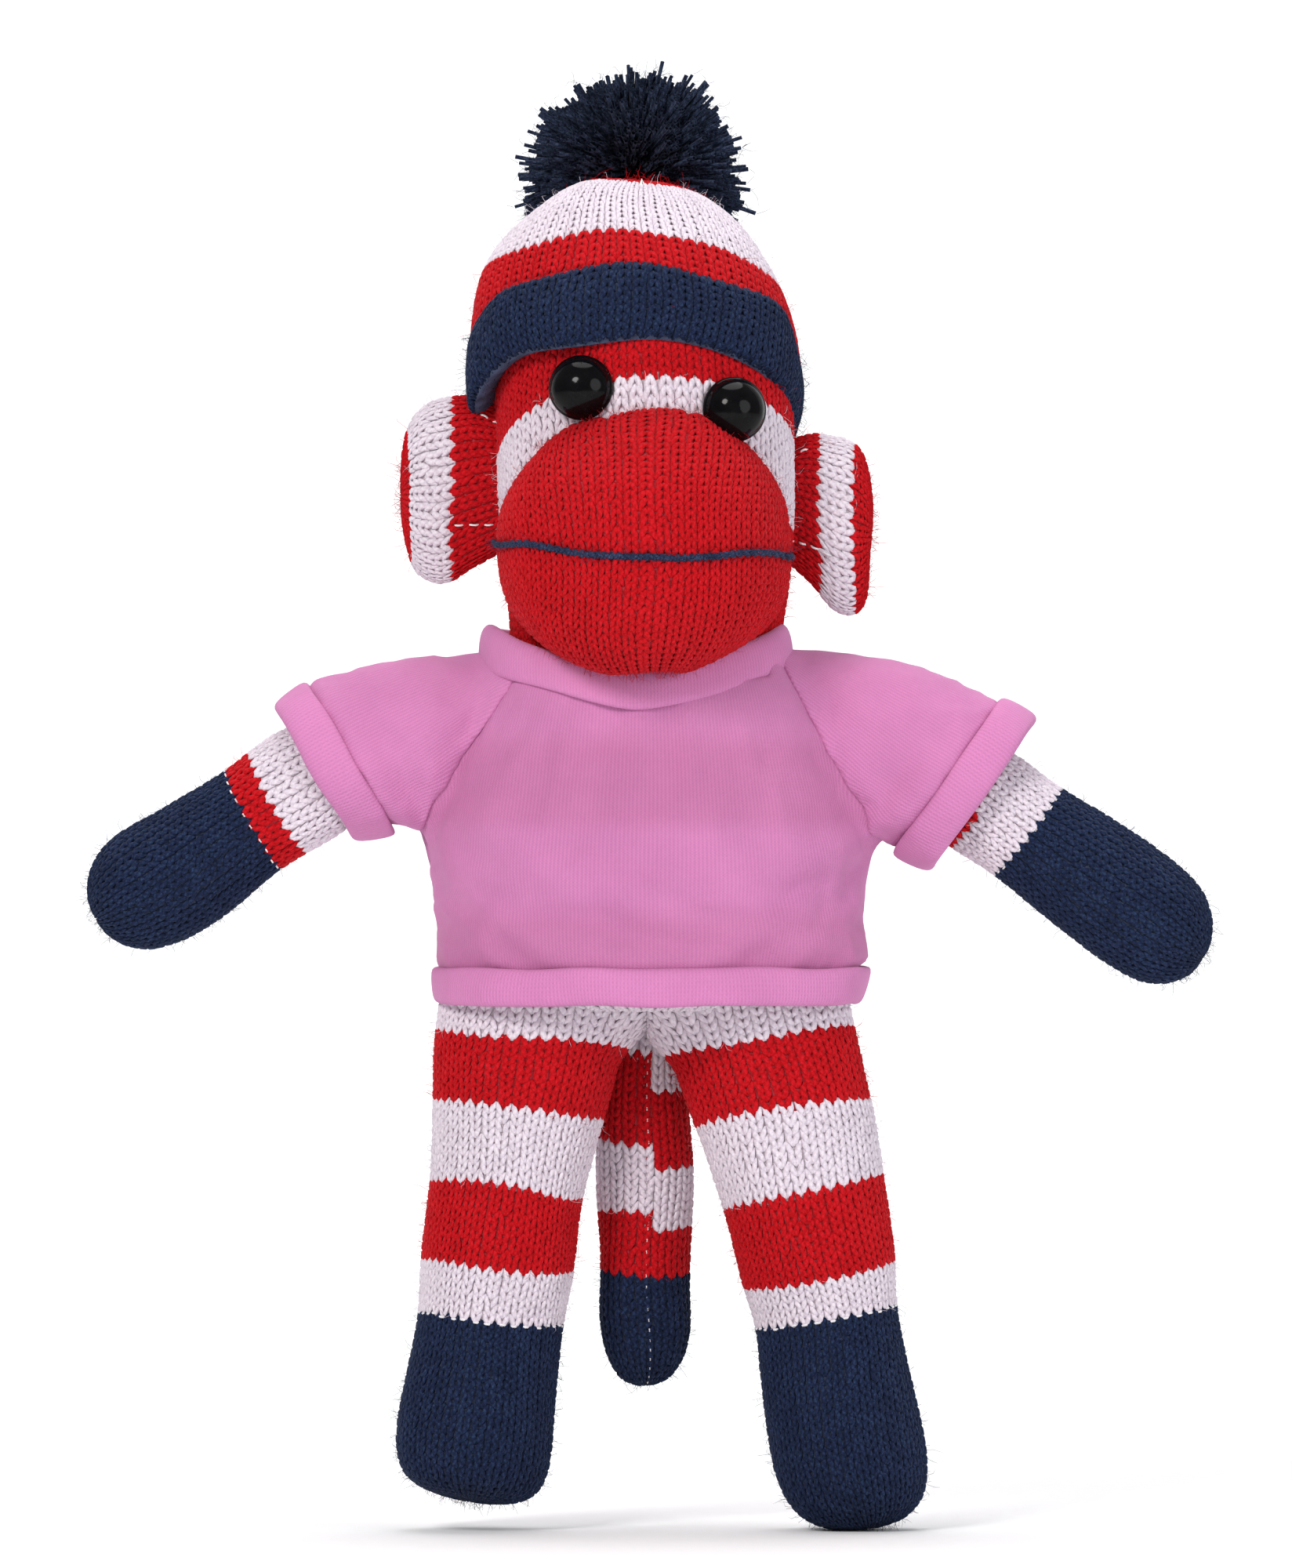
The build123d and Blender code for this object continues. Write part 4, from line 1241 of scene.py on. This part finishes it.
def folded_loop(name, rows, width):
    """A closed band of rib cloth; rows (loop, round, 3) run round its folded section."""
    n, m = rows.shape[:2]
    idx = np.arange(n * m).reshape(n, m)
    nxt_row, nxt_col = np.roll(idx, -1, axis=0), np.roll(idx, -1, axis=1)
    f = np.stack([idx, nxt_col, np.roll(nxt_row, -1, axis=1), nxt_row], -1).reshape(-1, 4)
    around = np.concatenate([[0], np.cumsum(np.linalg.norm(np.diff(rows[0], axis=0), axis=1))])
    uv = np.stack(np.broadcast_arrays(around[None, :], np.linspace(0, 2 * width, n)[:, None]), -1)
    parts = MeshParts()
    parts.add(rows.reshape(-1, 3), f, uv.reshape(-1, 2), 0)
    obj = parts.build(name, [rib_mat])
    bake_fine(obj)
    return obj


ROUND = np.linspace(0, TURN, 145)[:-1]
# The folded sections: (distance out, share of the way from one edge to the other)
EDGE_FOLD = [(-1.9, 0.08), (-0.6, -0.02), (0.7, 0.0), (1.25, 0.12), (1.45, 0.5), (1.35, 0.86), (0.9, 0.98),
             (0.0, 1.03), (-1.0, 0.96), (-1.9, 0.5)]
NECK_FOLD = [(0.2, 0.0), (1.3, 0.02), (1.8, 0.14), (2.0, 0.45), (1.9, 0.74), (1.45, 0.92), (0.6, 1.0),
             (-0.3, 0.97), (-0.9, 0.84), (-1.0, 0.45), (-0.8, 0.08)]


def edge_band(name, centre, axis, e1, e2, t0, t1, widest, seed):
    """A folded band following the draped cloth between two heights along its axis."""
    rel = after / MM - centre
    t = rel @ axis
    ang, r = np.arctan2(rel @ e2, rel @ e1), np.hypot(rel @ e1, rel @ e2)
    away = (ang[None] - ROUND[:, None] + math.pi) % TURN - math.pi
    fits = []
    for level in (t0, t1):
        weight = np.exp(-((t - level) / 1.6) ** 2) * np.exp(-(away / 0.11) ** 2) * (r < widest)
        fits.append((weight * r).sum(1) / weight.sum(1))
    spoke = np.cos(ROUND)[:, None] * e1 + np.sin(ROUND)[:, None] * e2
    rows = []
    for out_by, share in EDGE_FOLD:
        radius = fits[0] * (1 - share) + fits[1] * share + out_by
        rows.append(centre + axis * (t0 + (t1 - t0) * share) + radius[:, None] * spoke)
    return folded_loop(name, lumps(0.3, seed)(np.stack(rows)), abs(t1 - t0))


for node in ("shirt_front", "shirt_back"):
    cloth = cut_piece(node + "_cloth", node, body_jersey_mat, [("sleeve", "hem", "shirt")])
    attach(cloth, "torso", node)
hem = edge_band("hem_band_cloth", np.array([0.8, 0, 0]), Z, X, Y, 104.6, 97.7, 60, 133)
attach(hem, "torso", "hem_band")
SLEEVE_BEND = {"left": dict(start=3.5, lift=2.0, seed=137), "right": dict(start=4.8, lift=0.6, seed=139)}
for side, data in SLEEVE_BEND.items():
    outward, upward = arm_frame(side)
    bend_way = 0.88 * outward + 0.475 * upward
    start, end = (tuple((SHOULDER[side] + bend_way * t) * MM) for t in (data["start"], 11.5))

    def ride_sleeve(obj, side=side, start=start, end=end):
        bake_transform(obj)
        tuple(start)
        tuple(end)

    sleeve = cut_piece("sleeve_" + side + "_cloth", "sleeve_" + side, jersey_mat, ["sleeve_cuff"])
    attach(sleeve, ride_sleeve, "sleeve_" + side)
    edge = SLEEVE_END[side]
    band = edge_band("sleeve_cuff_" + side + "_cloth", SHOULDER[side] + data["lift"] * upward, outward,
                     upward, np.cross(outward, upward), edge - 7.7, edge + 0.1, 23, data["seed"])
    attach(band, ride_sleeve, "sleeve_cuff_" + side)

# Neckband: a folded loop standing round the neck, dipping at the front
front = np.sin(ROUND) < 0
c = np.abs(np.cos(ROUND))
low = np.where(front, 152.6 + 6.8 * c**1.4, 157.8 + 1.6 * c**1.4)
high = np.where(front, 160.2 + 8.3 * c**1.7, 165.2 + 3.3 * c**1.7)
rows = []
for out_by, share in NECK_FOLD:
    rx = 26.8 + 1.1 * (1 - share) + out_by
    ry = np.where(front, 20.8, 19.0) + 1.2 * (1 - share) + out_by
    rows.append(np.stack([NECK_X + rx * np.cos(ROUND), ry * np.sin(ROUND), low + (high - low) * share], -1))
neckband = folded_loop("neckband_cloth", lumps(0.5, 131, 16.0)(np.stack(rows)), 9.0)
attach(neckband, "torso", "neckband")
bpy.data.objects.remove(shirt)

# Torso skin under the shirt: striped knit that shows at the crotch and from below
torso = Tube([(0.4, 0.5), (0.6, 12), (1.0, 24), (3.4, 31), (7, 35), (16, 37.4), (30, 38), (44, 36.5),
              (52, 33), (60, 28), (66, 25.5), (70, 24)], [(-5, 0, 0, 91), (80, 0, 0, 176)], X, Y, 0.62)
torso_paint = stripes(torso, WHITE, (8, 23, 38, 53))
knit_piece("body_knit", "body_skin", "torso", torso, 22.0, at_along(torso, 16), 62,
           torso_paint,
           trim=lambda parts: add_sheet(parts, torso, 0, torso.total, torso_paint, 0.5, 62, ds=2.5))
add_filling("body_filling", "body_stuffing", "torso", torso, 3, torso.total - 1, 2.5)

# ---------------------------------------------------------------- stage
# A sheet of paper that curves up into a wall; from behind it can't be seen
floor_z = cad_low[2] - 0.0004
half_width, wall_y, wall_z, curve = 1.6, 0.55, 1.6, 0.25
profile = [(-3.2, floor_z)] + [(wall_y - curve + curve * math.sin(a), floor_z + curve - curve * math.cos(a))
                               for a in np.linspace(0, math.pi / 2, 17)] + [(wall_y, wall_z)]
floor = bpy.data.meshes.new("floor")
floor.from_pydata([(x, y, z) for y, z in profile for x in (-half_width, half_width)], [],
                  [(2 * k, 2 * k + 1, 2 * k + 3, 2 * k + 2) for k in range(len(profile) - 1)])
floor.polygons.foreach_set("use_smooth", np.ones(len(profile) - 1, bool))
paper = plain_material("studio_paper", (0.93, 0.93, 0.935), 0.9, 0.01)
nodes, links = paper.node_tree.nodes, paper.node_tree.links
kinds = ("NewGeometry", "BsdfTransparent", "MixShader")
from_behind, clear, either = (nodes.new("ShaderNode" + kind) for kind in kinds)
links.new(from_behind.outputs["Backfacing"], either.inputs[0])
links.new(nodes["Principled BSDF"].outputs[0], either.inputs[1])
links.new(clear.outputs[0], either.inputs[2])
links.new(either.outputs[0], nodes["Material Output"].inputs["Surface"])
floor.materials.append(paper)
stage_floor = new_object("studio_floor", floor)


def area_light(name, where, look, size, watts, colour=(1, 1, 1)):
    data = bpy.data.lights.new(name, "AREA")
    data.shape, data.size, data.energy, data.color = "DISK", size, watts, colour
    obj = new_object(name, data)
    obj.location = where
    obj.rotation_euler = (Vector(look) - Vector(where)).to_track_quat("-Z", "Y").to_euler()
    return obj


lights = [area_light("key", (-0.55, -1.1, 0.85), (0, 0, 0.14), 0.42, 11.0, (1.0, 0.985, 0.96)),
          area_light("fill", (0.9, -0.9, 0.45), (0, 0, 0.14), 0.9, 6.0, (0.96, 0.98, 1.0)),
          area_light("top", (0.0, 0.1, 1.1), (0, 0, 0.12), 0.8, 6)]
world = bpy.data.worlds.new("studio")
world.use_nodes = True
background = world.node_tree.nodes["Background"].inputs
background[0].default_value = (0.95, 0.96, 1.0, 1)
sky = Tree(world.node_tree)
# The backdrop that the camera sees is brighter than the light it gives
seen = sky.times(sky.nodes.new("ShaderNodeLightPath").outputs["Is Camera Ray"], 0.62)
sky.links.new(sky.plus(seen, 0.28), background[1])
bpy.context.scene.world = world

# Straight-on view with a long lens, framed like a catalogue shot
VIEW_HEIGHT = 292.6      # height of the picture at the puppet
VIEW_X, VIEW_Z = -0.4, 138.69
lens = bpy.data.cameras.new("front_camera")
lens.sensor_fit = "VERTICAL"
lens.sensor_height = 24
lens.lens = 210
camera = new_object("front_camera", lens)
camera.location = (VIEW_X * MM, -VIEW_HEIGHT * MM * lens.lens / lens.sensor_height, VIEW_Z * MM)
camera.rotation_euler = (math.radians(90), 0, 0)
bpy.context.scene.camera = camera
bpy.context.scene.view_settings.view_transform = "Standard"
